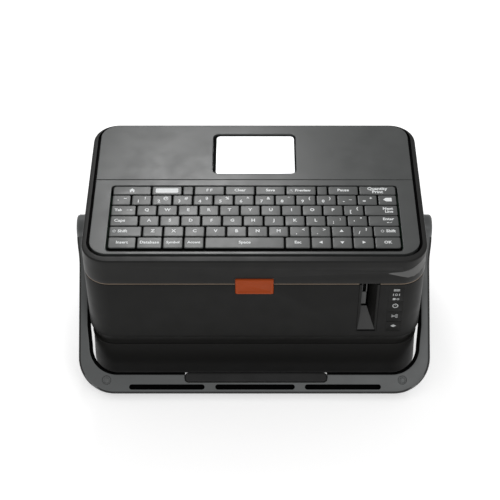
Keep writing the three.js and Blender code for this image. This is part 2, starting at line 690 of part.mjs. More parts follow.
// Outline of the bail in its own plane; the bar is towards -Y
function bailOutline() {
  const h = HANDLE;
  const side = h.armOuter;
  const boss = h.bossOuter;
  const shape = new THREE.Shape();
  const inner = h.cornerInner - h.innerCorner;
  shape.moveTo(boss, 8);
  shape.lineTo(h.armInner, 8);
  shape.lineTo(h.armInner, -h.step + 6);
  shape.lineTo(h.cornerInner, -h.step);
  shape.absarc(inner, -h.inner + h.innerCorner, h.innerCorner, 0, -Math.PI / 2, true);
  shape.absarc(-inner, -h.inner + h.innerCorner, h.innerCorner, -Math.PI / 2, -Math.PI, true);
  shape.lineTo(-h.cornerInner, -h.step);
  shape.lineTo(-h.armInner, -h.step + 6);
  shape.lineTo(-h.armInner, 8);
  shape.lineTo(-boss, 8);
  shape.lineTo(-boss, -6);
  shape.bezierCurveTo(-boss, -20, -side, -24, -side, -38);
  const corner = h.outerCorner;
  shape.absarc(-side + corner, -h.outer + corner, corner, Math.PI, Math.PI * 1.5);
  shape.absarc(side - corner, -h.outer + corner, corner, Math.PI * 1.5, Math.PI * 2);
  shape.lineTo(side, -38);
  shape.bezierCurveTo(side, -24, boss, -20, boss, -6);
  return shape;
}

function stadium(from, to, middle, width) {
  const half = width / 2;
  const shape = new THREE.Shape();
  shape.absarc(to - half, middle, half, -Math.PI / 2, Math.PI / 2);
  shape.absarc(from + half, middle, half, Math.PI / 2, Math.PI * 1.5);
  return shape;
}

function makeHandle() {
  const h = HANDLE;
  const half = h.thick / 2;
  let bail = extrude(bailOutline(), -half, half, h.bevel, 2);
  const made = [];
  for (const [side, sign] of [["left", -1], ["right", 1]]) {
    const boss = rod(h.bossRadius, [sign * h.armInner, 0, 0], [sign * (h.bossOuter - 2), 0, 0], 28);
    const face = rod(h.bossRadius - 2, [sign * h.armInner, 0, 0], [sign * h.bossOuter, 0, 0], 28);
    const bore = rod(PIVOT.radius + 0.2, [sign * 150, 0, 0], [sign * (PIVOT.end + GAP), 0, 0]);
    bail = bail.add(boss).add(face).subtract(bore);
    const at = (z) => [sign * CAP.x, -CAP.reach, z];
    bail = bail.subtract(rod(CAP.radius + GAP, at(half - CAP.thick - GAP), at(half + 1), 16));
    const cap = rod(CAP.radius, at(half - CAP.thick), at(half), 16);
    made.push(toMesh(`handle_cap_${side}`, cap, MATERIALS.handle));
  }
  for (const [from, to] of BAR_SLOTS) {
    const slot = stadium(from, to, -BAR_SLOT.reach, BAR_SLOT.width);
    bail = bail.subtract(extrude(slot, half - BAR_SLOT.depth, half + 1));
  }
  const notch = roundedRect(GRIP.left, GRIP.right, -GRIP.outer, 20 - h.inner, 4);
  bail = bail.subtract(extrude(notch, -half - 1, half + 1));
  const soft = roundedRect(
    GRIP.left + GAP, GRIP.right - GAP, -GRIP.outer + GAP, -h.inner, 3.7,
  );
  made.push(toMesh("handle_grip", extrude(soft, -half, half, 2, 2), MATERIALS.rubber));
  made.push(toMesh("handle_bail", bail, MATERIALS.handle));
  const group = new THREE.Group();
  group.add(...made);
  group.position.set(0, BODY_Y, h.pivotZ);
  group.rotation.x = THREE.MathUtils.degToRad(h.tilt);
  return group;
}

// ---------------------------------------------------------------- assembly

const labelMaker = new THREE.Group();
labelMaker.add(
  ...makeBase(),
  makeLowerShell(),
  ...makePins(),
  makeOutlet(),
  ...makeButtons(),
  makeRelease(),
  ...makeLatch(),
  makeDeck(),
  ...makeCassettes(),
  makePrintHead(),
  makeCutter(),
  ...makeDrive(),
  ...makeElectronics(),
  makeLidCover(),
  ...makePanels(),
  ...makeKeys(),
  makeHandle(),
);

export default labelMaker;
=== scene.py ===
"""The looks of the label maker: fine shells, keys, legends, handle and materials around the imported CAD."""
import json
import math

import bmesh
import bpy
from mathutils import Matrix, Vector


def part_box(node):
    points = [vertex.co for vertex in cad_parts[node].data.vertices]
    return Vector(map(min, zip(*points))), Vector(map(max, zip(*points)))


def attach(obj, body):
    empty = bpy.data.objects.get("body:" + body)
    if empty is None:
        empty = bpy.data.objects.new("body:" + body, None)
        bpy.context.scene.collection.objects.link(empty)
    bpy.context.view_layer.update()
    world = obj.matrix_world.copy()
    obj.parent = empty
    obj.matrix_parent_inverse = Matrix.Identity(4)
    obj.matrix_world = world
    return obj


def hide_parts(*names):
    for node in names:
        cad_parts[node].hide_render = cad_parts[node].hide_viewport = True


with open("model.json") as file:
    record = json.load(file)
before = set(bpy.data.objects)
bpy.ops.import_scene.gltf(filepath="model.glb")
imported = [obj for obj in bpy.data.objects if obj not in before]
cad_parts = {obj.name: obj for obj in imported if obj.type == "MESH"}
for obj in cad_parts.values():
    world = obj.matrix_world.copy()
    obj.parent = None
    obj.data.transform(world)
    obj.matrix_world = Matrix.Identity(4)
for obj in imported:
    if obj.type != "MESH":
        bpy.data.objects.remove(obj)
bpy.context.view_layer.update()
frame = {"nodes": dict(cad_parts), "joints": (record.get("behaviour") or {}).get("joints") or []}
MM = 0.001


def box_mm(node):
    low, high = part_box(node)
    return low / MM, high / MM


# ---------- sizes, in millimetres

BASE_LOW, BASE_HIGH = box_mm("base_housing")
SHELL_LOW, SHELL_HIGH = box_mm("lower_shell")
PANEL_LOW, PANEL_HIGH = box_mm("keyboard_panel")
REAR_PANEL_LOW, REAR_PANEL_HIGH = box_mm("display_panel")
GLASS_LOW, GLASS_HIGH = box_mm("display_window")
RELEASE_LOW, RELEASE_HIGH = box_mm("release_button")
GUIDE_LOW, GUIDE_HIGH = box_mm("outlet_guide")

joints = {joint["name"]: joint for joint in frame["joints"]}
SEAM = joints["lid_open"]["pos_m"][2] / MM
PIVOT_Z = joints["handle_turn"]["pos_m"][2] / MM

BASE_INSET = {"top": 2.3, "bottom": 0.8}
HALF_WIDTH = BASE_HIGH.x + BASE_INSET["bottom"]
FRONT = BASE_LOW.y - BASE_INSET["bottom"]
REAR = BASE_HIGH.y + BASE_INSET["bottom"]
BODY_Y = (FRONT + REAR) / 2
CORNER = 24
WALL = 2.5
PARTING = 0.3
COVE = {"top": 59.2, "depth": 2.6}
RIM_TOP = 159.5
RIM_RADIUS = 1.4
PANEL_TOP = PANEL_HIGH.z
PLATE_TOP = PANEL_TOP - 5
FIELD_SLOPE = 2.3
GROOVE = {"side": 2.8, "front": 2.1, "rear": 0.8}
PANEL_CORNER = 17
HINGE = {"x": 95, "radius": 4, "lid_half": 10, "shell_half": 22, "clear": 0.4, "strip_half": 24}
TILT = 41.6
PIVOT_BORE = 6.3
BASE_ROUND = {"in": 4, "up": 5}

KEY_FIELD = {"x": 133.6, "front": FRONT + 14, "rear": FRONT + 98.7, "corner": 3.5}
KEY_AREA = {"x": 131.7, "front": FRONT + 16.4, "rear": FRONT + 97.4, "corner": 2.5}
KEY_START = {"x": -133.35, "y": FRONT + 17.35}
KEY_PITCH = 19.05
KEY_ROW = 13.85
KEY_GAP = 1.4
KEY_BASE = PANEL_TOP - 3.8
KEY_TOP = PANEL_TOP
LEGEND_LIFT = 0.03
MARK_LIFT = 0.04
SEAL_DEPTH = 7.3

ARC_STEPS = 12


# ---------- materials

def set_inputs(node, values):
    for name, value in values.items():
        node.inputs[name].default_value = value


def new_material(name, color, roughness, metallic=0.0):
    material = bpy.data.materials.new(name)
    material.use_nodes = True
    shader = material.node_tree.nodes["Principled BSDF"]
    set_inputs(shader, {"Base Color": (*color, 1), "Roughness": roughness, "Metallic": metallic})
    return material, material.node_tree, shader


def add_noise(tree, scale, detail=2.0, stretch=(1, 1, 1)):
    coordinates = tree.nodes.new("ShaderNodeTexCoord")
    mapping = tree.nodes.new("ShaderNodeMapping")
    mapping.inputs["Scale"].default_value = stretch
    noise = tree.nodes.new("ShaderNodeTexNoise")
    set_inputs(noise, {"Scale": scale, "Detail": detail})
    tree.links.new(coordinates.outputs["Object"], mapping.inputs["Vector"])
    tree.links.new(mapping.outputs["Vector"], noise.inputs["Vector"])
    return noise.outputs["Fac"]


def add_ramp(tree, value, low, high, start=0.3, end=0.7):
    ramp = tree.nodes.new("ShaderNodeValToRGB")
    ramp.color_ramp.elements[0].position = start
    ramp.color_ramp.elements[0].color = (*low, 1)
    ramp.color_ramp.elements[1].position = end
    ramp.color_ramp.elements[1].color = (*high, 1)
    tree.links.new(value, ramp.inputs["Fac"])
    return ramp.outputs["Color"]


def add_range(tree, value, low, high, start=0.3, end=0.7):
    spread = tree.nodes.new("ShaderNodeMapRange")
    set_inputs(spread, {"From Min": start, "From Max": end, "To Min": low, "To Max": high})
    tree.links.new(value, spread.inputs["Value"])
    return spread.outputs["Result"]


def add_bump(tree, shader, height, strength, distance):
    bump = tree.nodes.new("ShaderNodeBump")
    set_inputs(bump, {"Strength": strength, "Distance": distance * MM})
    tree.links.new(height, bump.inputs["Height"])
    tree.links.new(bump.outputs["Normal"], shader.inputs["Normal"])


def tint(color, factor):
    return tuple(channel * factor for channel in color)


def vary_color(tree, shader, value, color, low, high):
    shade = add_ramp(tree, value, tint(color, low), tint(color, high))
    tree.links.new(shade, shader.inputs["Base Color"])


def vary_gloss(tree, shader, value, low, high):
    tree.links.new(add_range(tree, value, low, high), shader.inputs["Roughness"])


def moulded(name, color, roughness=0.5, grain=1400, bump=0.25, uneven=0.06, specular=0.5):
    """Moulded plastic: spark-eroded grain, slightly uneven colour, and gloss that changes with handling."""
    material, tree, shader = new_material(name, color, roughness)
    shader.inputs["Specular IOR Level"].default_value = specular
    vary_color(tree, shader, add_noise(tree, 22, 4), color, 1 - uneven, 1 + uneven)
    vary_gloss(tree, shader, add_noise(tree, 60, 3), roughness - 0.05, roughness + 0.05)
    add_bump(tree, shader, add_noise(tree, grain, 2), bump, 0.05)
    return material


def painted_shade_below(name, color, dark, heights, roughness, specular):
    """Moulded plastic with painted shade: darker at the first of two heights (in mm, at rest) than at the
    second
    """
    material = moulded(name, color, roughness, 1200, 0.25, 0.06, specular)
    tree = material.node_tree
    coordinates = tree.nodes.new("ShaderNodeTexCoord")
    parts = tree.nodes.new("ShaderNodeSeparateXYZ")
    tree.links.new(coordinates.outputs["Object"], parts.inputs["Vector"])
    rise = add_range(tree, parts.outputs["Z"], 0, 1, heights[0] * MM, heights[1] * MM)
    colors = add_ramp(tree, rise, dark, color, 0, 1)
    tree.links.new(colors, tree.nodes["Principled BSDF"].inputs["Base Color"])
    return material


def rubbery(name, color):
    material, tree, shader = new_material(name, color, 0.8)
    shader.inputs["Specular IOR Level"].default_value = 0.35
    vary_color(tree, shader, add_noise(tree, 40, 5), color, 0.8, 1.25)
    add_bump(tree, shader, add_noise(tree, 900, 4), 0.4, 0.08)
    return material


def brushed(name, color, roughness=0.3):
    material, tree, shader = new_material(name, color, roughness, 1.0)
    lines = add_noise(tree, 300, 3, (1, 14, 14))
    vary_color(tree, shader, lines, color, 0.85, 1.1)
    vary_gloss(tree, shader, lines, roughness - 0.08, roughness + 0.1)
    add_bump(tree, shader, lines, 0.15, 0.02)
    return material


def printed(name, color, roughness=0.55):
    """Ink or a thin moulded inlay, a little uneven"""
    material, tree, shader = new_material(name, color, roughness)
    vary_color(tree, shader, add_noise(tree, 500, 3), color, 0.9, 1.03)
    return material


def glowing(name, color, strength):
    """A floor that stays white where little light falls on it"""
    material, _, shader = new_material(name, color, 0.9)
    set_inputs(shader, {"Emission Color": (1, 1, 1, 1), "Emission Strength": strength})
    return material


# Painted light: the screen is given a glow of its own, so that it reads bright white
def painted_glow_screen(name, color):
    material, tree, shader = new_material(name, color, 0.12)
    vary_color(tree, shader, add_noise(tree, 9, 2), color, 0.97, 1.0)
    set_inputs(shader, {"Emission Color": (0.95, 0.97, 1.0, 1), "Emission Strength": 0.45})
    return material


TOP = moulded("top_grey", (0.048, 0.051, 0.050), 0.34, 1300, 0.16)
KEY = moulded("key_grey", (0.064, 0.067, 0.066), 0.36, 1700, 0.2)
BLANK = moulded("blank_grey", (0.050, 0.053, 0.052), 0.4, 1700, 0.2)
SKIRT = moulded("skirt_black", (0.0048, 0.0047, 0.0041), 0.42, 1100, 0.25, 0.1, 0.2)
# Painted light: a lighter copy of the skirt black for the upward faces of the rim
RIM = moulded("rim_painted_light", (0.012, 0.012, 0.0115), 0.4, 1100, 0.2, 0.1, 0.2)
SHELL = moulded("shell_black", (0.0039, 0.0038, 0.0033), 0.44, 1100, 0.25, 0.1, 0.17)
# Painted shade: the base black darkens towards the floor, below 16 mm
BASE = painted_shade_below("base_black", (0.0105, 0.0103, 0.0098), (0.0015, 0.0015, 0.0014), (3, 16), 0.5, 0.1)
HANDLE_MATERIAL = moulded("handle_grey", (0.105, 0.110, 0.110), 0.4, 1200, 0.25, 0.06)
RUBBER = rubbery("soft_rubber", (0.018, 0.018, 0.018))
# Painted shade: a darker copy of the handle grey for the bail's outer edges
HANDLE_EDGE_SHADE = moulded("handle_edge_painted_shade", (0.022, 0.022, 0.022), 0.45, 1200, 0.25, 0.06, 0.2)
ORANGE = moulded("release_orange", (0.32, 0.049, 0.007), 0.4, 1500, 0.2, 0.05, 0.12)
SCREEN = painted_glow_screen("screen_white", (0.93, 0.94, 0.94))
SEAM_STRIP = moulded("seam_strip", (0.26, 0.19, 0.13), 0.5, 1500, 0.1)
GUIDE_GREY = moulded("guide_grey", (0.05, 0.05, 0.049), 0.42, 1300, 0.2)
# Painted light: a lighter copy of the shell black for the outlet ramp's upward slope
RAMP_LIT = moulded("ramp_painted_light", (0.016, 0.016, 0.0155), 0.42, 1300, 0.2)
# Painted light: a lighter grey for the upward floor of the finger recess in the lid's dark skirt
SCOOP_LIT = moulded("scoop_painted_light", (0.085, 0.085, 0.083), 0.42, 1300, 0.2)
INK = printed("legend_white", (0.82, 0.84, 0.84))
DIM_INK = printed("icon_grey", (0.42, 0.43, 0.43))
# Painted shade: near-black that stands for the shade in gaps, grooves, slots and recesses
SHADE_BLACK = moulded("painted_shade_black", (0.002, 0.002, 0.002), 0.7, 1100, 0.2, 0.1, 0.05)
STEEL = brushed("steel", (0.55, 0.56, 0.58))
BOARD = moulded("board_green", (0.012, 0.075, 0.03), 0.35, 700, 0.2)
CASSETTE = moulded("cassette_grey", (0.50, 0.50, 0.47), 0.42, 1300, 0.2)
RIBBON = moulded("ribbon_blue_grey", (0.035, 0.045, 0.062), 0.42, 1300, 0.2)
GEAR_WHITE = moulded("gear_white", (0.66, 0.64, 0.57), 0.4, 1500, 0.1)
BLANK_LABEL = printed("blank_label", (0.70, 0.69, 0.64), 0.6)
BATTERY = moulded("battery_wrap", (0.03, 0.034, 0.042), 0.35, 900, 0.15)


# ---------- mesh helpers

def add_object(name, data):
    made = bpy.data.objects.new(name, data)
    bpy.context.scene.collection.objects.link(made)
    return made


def make_object(name, vertices, faces, material):
    mesh = bpy.data.meshes.new(name)
    mesh.from_pydata([Vector(v) * MM for v in vertices], [], faces)
    mesh.materials.append(material)
    return add_object(name, mesh)


def set_materials(mesh, *materials):
    mesh.materials.clear()
    for material in materials:
        mesh.materials.append(material)


def loft(name, rings, material, closed=False):
    """One closed skin through rings of equal counts, capped unless the rings close on themselves"""
    count = len(rings[0])
    vertices = [point for ring in rings for point in ring]
    faces = []
    for ring in range(len(rings) if closed else len(rings) - 1):
        low = ring * count
        high = (ring + 1) % len(rings) * count
        for i in range(count):
            after = (i + 1) % count
            faces.append((low + i, low + after, high + after, high + i))
    if not closed:
        last = (len(rings) - 1) * count
        faces.append(tuple(reversed(range(count))))
        faces.append(tuple(range(last, last + count)))
    return make_object(name, vertices, faces, material)


def rounded_rect(x0, x1, y0, y1, radius, steps=ARC_STEPS):
    """Corner points, counter-clockwise; radius is one number, or one for each corner from the front right"""
    radii = [radius] * 4 if isinstance(radius, (int, float)) else radius
    corners = [(x1, y0, -90), (x1, y1, 0), (x0, y1, 90), (x0, y0, 180)]
    points = []
    for (x, y, start), r in zip(corners, radii):
        centre_x = x - r if x == x1 else x + r
        centre_y = y - r if y == y1 else y + r
        for step in range(steps + 1):
            angle = math.radians(start + 90 * step / steps)
            points.append((centre_x + r * math.cos(angle), centre_y + r * math.sin(angle)))
    return points


def body_ring(inset, z):
    x = HALF_WIDTH - inset
    outline = rounded_rect(-x, x, FRONT + inset, REAR - inset, max(CORNER - inset, 1))
    return [(px, py, z) for px, py in outline]


def prism(name, outline, bottom, top, material):
    return loft(name, [[(x, y, z) for x, y in outline] for z in (bottom, top)], material)


def block(name, x0, x1, y0, y1, z0, z1, material=None):
    outline = [(x0, y0), (x1, y0), (x1, y1), (x0, y1)]
    return prism(name, outline, z0, z1, material or SHADE_BLACK)


def ring_points(centre, radius, axis, sides=48):
    normal = Vector(axis).normalized()
    side = normal.orthogonal().normalized()
    other = normal.cross(side)
    turns = [2 * math.pi * i / sides for i in range(sides)]
    return [tuple(Vector(centre) + radius * (math.cos(t) * side + math.sin(t) * other)) for t in turns]


def turned(name, start, axis, profile, material, sides=48):
    """A turned piece: profile is a list of [distance along axis, radius]"""
    direction = Vector(axis).normalized()
    rings = [ring_points(Vector(start) + d * direction, r, axis, sides) for d, r in profile]
    return loft(name, rings, material)


def rod(name, start, axis, length, radius, material, sides=48):
    return turned(name, start, axis, [(0, radius), (length, radius)], material, sides)


def bake_modifiers(piece):
    graph = bpy.context.evaluated_depsgraph_get()
    mesh = bpy.data.meshes.new_from_object(piece.evaluated_get(graph))
    piece.modifiers.clear()
    piece.data = mesh


def boolean(piece, others, operation):
    for other in others:
        modifier = piece.modifiers.new("cut", "BOOLEAN")
        modifier.operation = operation
        modifier.solver = "EXACT"
        modifier.object = other
    bake_modifiers(piece)
    for other in others:
        bpy.data.objects.remove(other)
    return piece


def cut(piece, *cutters):
    return boolean(piece, cutters, "DIFFERENCE")


def weld(piece, *others):
    return boolean(piece, others, "UNION")


def join(name, parts):
    """Several separate bodies as one object, with their materials kept"""
    with bpy.context.temp_override(active_object=parts[0], selected_editable_objects=parts):
        bpy.ops.object.join()
    parts[0].name = name
    return parts[0]


def add_bevel(piece, width, segments, angle):
    modifier = piece.modifiers.new("edges", "BEVEL")
    modifier.width = width * MM
    modifier.segments = segments
    modifier.limit_method = "ANGLE"
    modifier.angle_limit = math.radians(angle)
    return modifier


def soften(piece, width, segments=2, angle=35):
    """Rounds the sharp edges and shades the rest smooth"""
    piece.data.shade_smooth()
    modifier = add_bevel(piece, width, segments, angle)
    modifier.use_clamp_overlap = True
    modifier.harden_normals = True
    return piece


def shade(piece, angle=35):
    piece.data.shade_smooth()
    piece.data.set_sharp_from_angle(angle=math.radians(angle))
    return piece


def place(piece, body, slot, *nodes):
    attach(piece, body)
    if nodes:
        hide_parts(*nodes)
    return piece


def fine_copy(node, body, slot, material, width=0.3, segments=2):
    """A CAD node whose shape is right, with merged faces and rounded edges"""
    source = frame["nodes"][node]
    mesh = source.data.copy()
    set_materials(mesh, material)
    shape = bmesh.new()
    shape.from_mesh(mesh)
    bmesh.ops.remove_doubles(shape, verts=shape.verts, dist=0.002 * MM)
    bmesh.ops.dissolve_limit(shape, angle_limit=math.radians(1), verts=shape.verts, edges=shape.edges)
    shape.to_mesh(mesh)
    shape.free()
    piece = add_object(node + "_fine", mesh)
    soften(piece, width, segments)
    return place(piece, body, slot, node)


# ---------- lettering and icons

def lettering(text, size, x, y, z, align="CENTER", weight=0.15):
    """Flat text in the XY plane, facing up, with its middle line at y; weight thickens its strokes"""
    curve = bpy.data.curves.new("text", "FONT")
    curve.body = text
    curve.size = size * MM
    curve.align_x = align
    curve.align_y = "CENTER"
    curve.space_line = 0.85
    curve.resolution_u = 2
    curve.offset = weight * MM
    source = add_object("text", curve)
    bpy.context.view_layer.update()
    graph = bpy.context.evaluated_depsgraph_get()
    mesh = bpy.data.meshes.new_from_object(source.evaluated_get(graph))
    bpy.data.objects.remove(source)
    set_materials(mesh, INK)
    mesh.transform(Matrix.Translation(Vector((x, y, z)) * MM))
    return add_object("text", mesh)


def flat_shape(points, z):
    return make_object("shape", [(x, y, z) for x, y in points], [tuple(range(len(points)))], INK)


def arrow(x, y, z, angle, size=1.5):
    turns = [math.radians(angle + 120 * i) for i in range(3)]
    return flat_shape([(x + size * math.cos(t), y + size * math.sin(t)) for t in turns], z)


def stroke_corners(start, end, width):
    a = Vector(start)
    b = Vector(end)
    along = (b - a).normalized() * width / 2
    side = Vector((-along.y, along.x))
    return [tuple(p) for p in (a - side, b - side, b + side, a + side)]


def stroke(start, end, z, width=0.35):
    return flat_shape(stroke_corners(start, end, width), z)


def home_icon(x, y, z):
    roof = [(-2.2, 0), (0, 2), (2.2, 0), (1.5, 0), (1.5, -1.8), (0.5, -1.8), (0.5, -0.5)]
    walls = [(-0.5, -0.5), (-0.5, -1.8), (-1.5, -1.8), (-1.5, 0)]
    return [flat_shape([(x + 1.35 * a, y + 1.35 * b) for a, b in reversed(roof + walls)], z)]


def backspace_icon(x, y, z):
    tag = [(-4.4, 0), (-1.8, -2.4), (3.6, -2.4), (3.6, 2.4), (-1.8, 2.4)]
    return [flat_shape([(x + a, y + b) for a, b in tag], z)]


def shift_icon(x, y, z):
    points = [(0, 1.6), (-1.7, 0), (-0.8, 0), (-0.8, -1.4), (0.8, -1.4), (0.8, 0), (1.7, 0)]
    ends = points[1:] + points[:1]
    return [stroke((x + a[0], y + a[1]), (x + b[0], y + b[1]), z) for a, b in zip(points, ends)]


def tab_icon(x, y, z):
    bar = stroke((x + 2.4, y - 1.3), (x + 2.4, y + 1.3), z)
    shaft = stroke((x - 2.4, y), (x + 1, y), z)
    return [bar, shaft, arrow(x + 1.2, y, z, 0, 1)]


def enter_icon(x, y, z):
    drop = stroke((x + 2.2, y + 1.1), (x + 2.2, y), z)
    shaft = stroke((x + 2.2, y), (x - 1, y), z)
    return [drop, shaft, arrow(x - 1.4, y, z, 180, 1)]


def lens_icon(x, y, z):
    sides = [2 * math.pi * i / 16 for i in range(17)]
    rim = [(x + 0.9 * math.cos(t), y + 0.3 + 0.9 * math.sin(t)) for t in sides]
    ring = [stroke(a, b, z, 0.3) for a, b in zip(rim, rim[1:])]
    return ring + [stroke((x + 0.6, y - 0.3), (x + 1.5, y - 1.3), z, 0.4)]


# ---------- keyboard

FILLER = "filler"


def one(piece, width, kind, *words):
    return (piece, width, kind, words)


def typed(piece, symbols, kind="letter"):
    """A run of standard keys: a pair is the lower and the upper symbol"""
    return [one(piece, KEY_PITCH, kind if len(s) == 1 else "pair", *s) for s in symbols]


def worded(piece, *keys):
    """A run of keys with a word on each, given as widths and words"""
    return [one(piece, width, "word", word) for width, word in keys]


# Rows from the front; the last key of a row takes what is left of it
KEY_ROWS = [
    [
        *worded("keys_bottom_left", (27.1, "Insert"), (23.4, "Database"), (18.9, "Symbol"), (18.9, "Accent")),
        one("key_space", 72.5, "word", "Space"),
        one("keys_arrows", 23.4, "word", "Esc"),
        one("keys_arrows", 18.9, "arrow", 180),
        one("keys_arrows", 18.9, "arrow", 270),
        one("keys_arrows", 19.5, "arrow", 0),
        one("key_ok", 0, "word", "OK"),
    ],
    [
        one("key_shift_left", 31.5, "shift", "Shift"),
        *typed("keys_lower", "ZXCVBNM"),
        *typed("keys_lower", [",<", ".>"]),
        one("keys_lower", KEY_PITCH, "arrow", 90),
        *typed("keys_lower", ["/?"]),
        one("key_shift_right", 0, "shift", "Shift"),
    ],
    [
        one("keys_home_row", 27.5, "left", "Caps"),
        *typed("keys_home_row", "ASDFGHJKL"),
        *typed("keys_home_row", [";:", "'\""]),
        one("key_enter", 0, "enter", "Enter"),
    ],
    [
        one("keys_upper", 24.7, "tab", "Tab"),
        *typed("keys_upper", "QWERTYUIOP"),
        *typed("keys_upper", ["[{"]),
        one("keys_upper", 0, "right", "Next\nLine"),
    ],
    [
        *typed("keys_digits", ["`~", "1!", "2@", "3#", "4$", "5%", "6^", "7&", "8*", "9(", "0)", "-_", "=+"]),
        one("key_backspace", 0, "backspace"),
    ],
    [
        one("key_home", 37.3, "home"),
        one("keys_function", 28.8, "label"),
        one(FILLER, 10.7, "blank"),
        *worded("keys_function", (29, "F F"), (28.3, "Clear"), (28.4, "Save")),
        one("keys_function", 28.8, "lens", "Preview"),
        one(FILLER, 10.5, "blank"),
        one("keys_function", 28.9, "word", "Pause"),
        one("key_print", 0, "small", "Quantity\nPrint"),
    ],
]


def row_cells(row):
    """Every cell of a row: its piece, kind, words and sides; the outer cells follow the key area"""
    area = KEY_AREA
    start = KEY_START["y"] + row * KEY_ROW
    front = start if row else area["front"]
    rear = area["rear"] if row == len(KEY_ROWS) - 1 else start + KEY_ROW - KEY_GAP
    edge = KEY_START["x"]
    spare = -2 * edge - sum(width for _, width, _, _ in KEY_ROWS[row])
    cells = []
    for piece, width, kind, words in KEY_ROWS[row]:
        left = max(edge + KEY_GAP / 2, -area["x"])
        edge += width or spare
        right = min(edge - KEY_GAP / 2, area["x"])
        cells.append((piece, kind, words, left, right, front, rear))
    return cells


# Cap profile from its foot up: [inset, height below the top]
CAP_PROFILE = [(0.05, KEY_TOP - KEY_BASE), (0.05, 0.8), (0.12, 0.4), (0.3, 0.15), (0.6, 0.04), (1.1, 0)]
CAP_CORNER = 1.3
CAP_SIDE = 0.7
CAP_GROWTH = 0.22


def cap_corners(left, right, front, rear):
    """Corner radii from the front right; a cap in a corner of the key area follows the area"""
    area = KEY_AREA
    at_left = left < -area["x"] + 1
    at_right = right > area["x"] - 1
    at_front = front < area["front"] + 1
    at_rear = rear > area["rear"] - 1
    meets = [at_right and at_front, at_right and at_rear, at_left and at_rear, at_left and at_front]
    return [area["corner"] if m else CAP_CORNER for m in meets]


def paint_gap_shade(piece, below):
    """Painted shade: black walls under the rounded rim of a cap, so the gaps between caps read as black"""
    piece.data.materials.append(SHADE_BLACK)
    for face in piece.data.polygons:
        if abs(face.normal.z) < 0.3 and face.center.z / MM < below:
            face.material_index = 1


def make_cap(left, right, front, rear, top=KEY_TOP, material=None):
    radii = cap_corners(left, right, front, rear)
    rings = []
    for inset, below in CAP_PROFILE:
        corners = [max(r - inset * 0.6, 0.4) for r in radii]
        sides = (left + inset, right - inset, front + inset - CAP_GROWTH, rear - inset + CAP_GROWTH)
        outline = rounded_rect(*sides, corners, 4)
        rings.append([(x, y, top - below) for x, y in outline])
    cap = loft("cap", rings, material or KEY)
    paint_gap_shade(cap, top - CAP_SIDE)
    return shade(cap, 50)


def legend(kind, words, left, right, front, rear):
    z = KEY_TOP + LEGEND_LIFT
    x = (left + right) / 2
    y = (front + rear) / 2
    if kind == "letter":
        return [lettering(words[0], 5.0, x, y + 0.5, z, weight=0.19)]
    if kind == "pair":
        lower = lettering(words[0], 5.2, x - 2.9, y - 1.7, z)
        upper = lettering(words[1], 4.8, x + 3.4, y + 2.2, z)
        return [lower, upper]
    if kind == "arrow":
        return [arrow(x, y + 0.4, z, words[0], 2.1)]
    if kind == "word":
        size = 4.1 if right - left < 19 else 4.7
        return [lettering(words[0], size, x, y + 0.3, z)]
    if kind == "small":
        return [lettering(words[0], 5.2, x, y, z)]
    if kind == "left":
        return [lettering(words[0], 5.0, left + 3.4, y + 0.4, z, "LEFT")]
    if kind == "right":
        return [lettering(words[0], 4.5, right - 4, y + 0.2, z, "RIGHT")]
    if kind == "tab":
        return [lettering(words[0], 4.4, left + 3, y + 0.4, z, "LEFT"), *tab_icon(left + 16.4, y + 0.4, z)]
    if kind == "enter":
        word = lettering(words[0], 4.6, right - 4, y + 2.2, z, "RIGHT")
        return [word, *enter_icon(right - 8.5, y - 2.4, z)]
    if kind == "shift":
        start = left + (4.4 if left < 0 else 7.9)
        return [*shift_icon(start, y + 0.4, z), lettering(words[0], 4.9, start + 3.2, y + 0.4, z, "LEFT")]
    if kind == "lens":
        return [*lens_icon(x - 9.4, y, z), lettering(words[0], 4.5, x + 1.6, y, z)]
    if kind == "home":
        return home_icon(x, y, z)
    if kind == "backspace":
        return backspace_icon(x + 0.5, y + 0.5, z)
    if kind == "label":
        return [flat_shape(rounded_rect(left + 3.2, right - 3.2, front + 2.2, rear - 2.6, 1.2, 4), z)]
    return []


def make_keys():
    pieces = {}
    for row in range(len(KEY_ROWS)):
        for piece, kind, words, left, right, front, rear in row_cells(row):
            if piece == FILLER:
                continue
            parts = pieces.setdefault(piece, [])
            parts.append(make_cap(left, right, front, rear))
            parts.extend(legend(kind, words, left, right, front, rear))
    for node, parts in pieces.items():
        body = node.replace("keys_", "").replace("key_", "") + "_body"
        place(join(node + "_caps", parts), body, "key_plastic", node)


def make_key_seal():
    """A thin sheet over the circuit board, in the painted-shade black, which is all that shows between the
    caps
    """
    field = KEY_FIELD
    z = PANEL_TOP - SEAL_DEPTH
    seal = block("key_seal", -field["x"], field["x"], field["front"], field["rear"], z, z + 0.2)
    place(seal, "lid", "soft_rubber")


# ---------- top panels

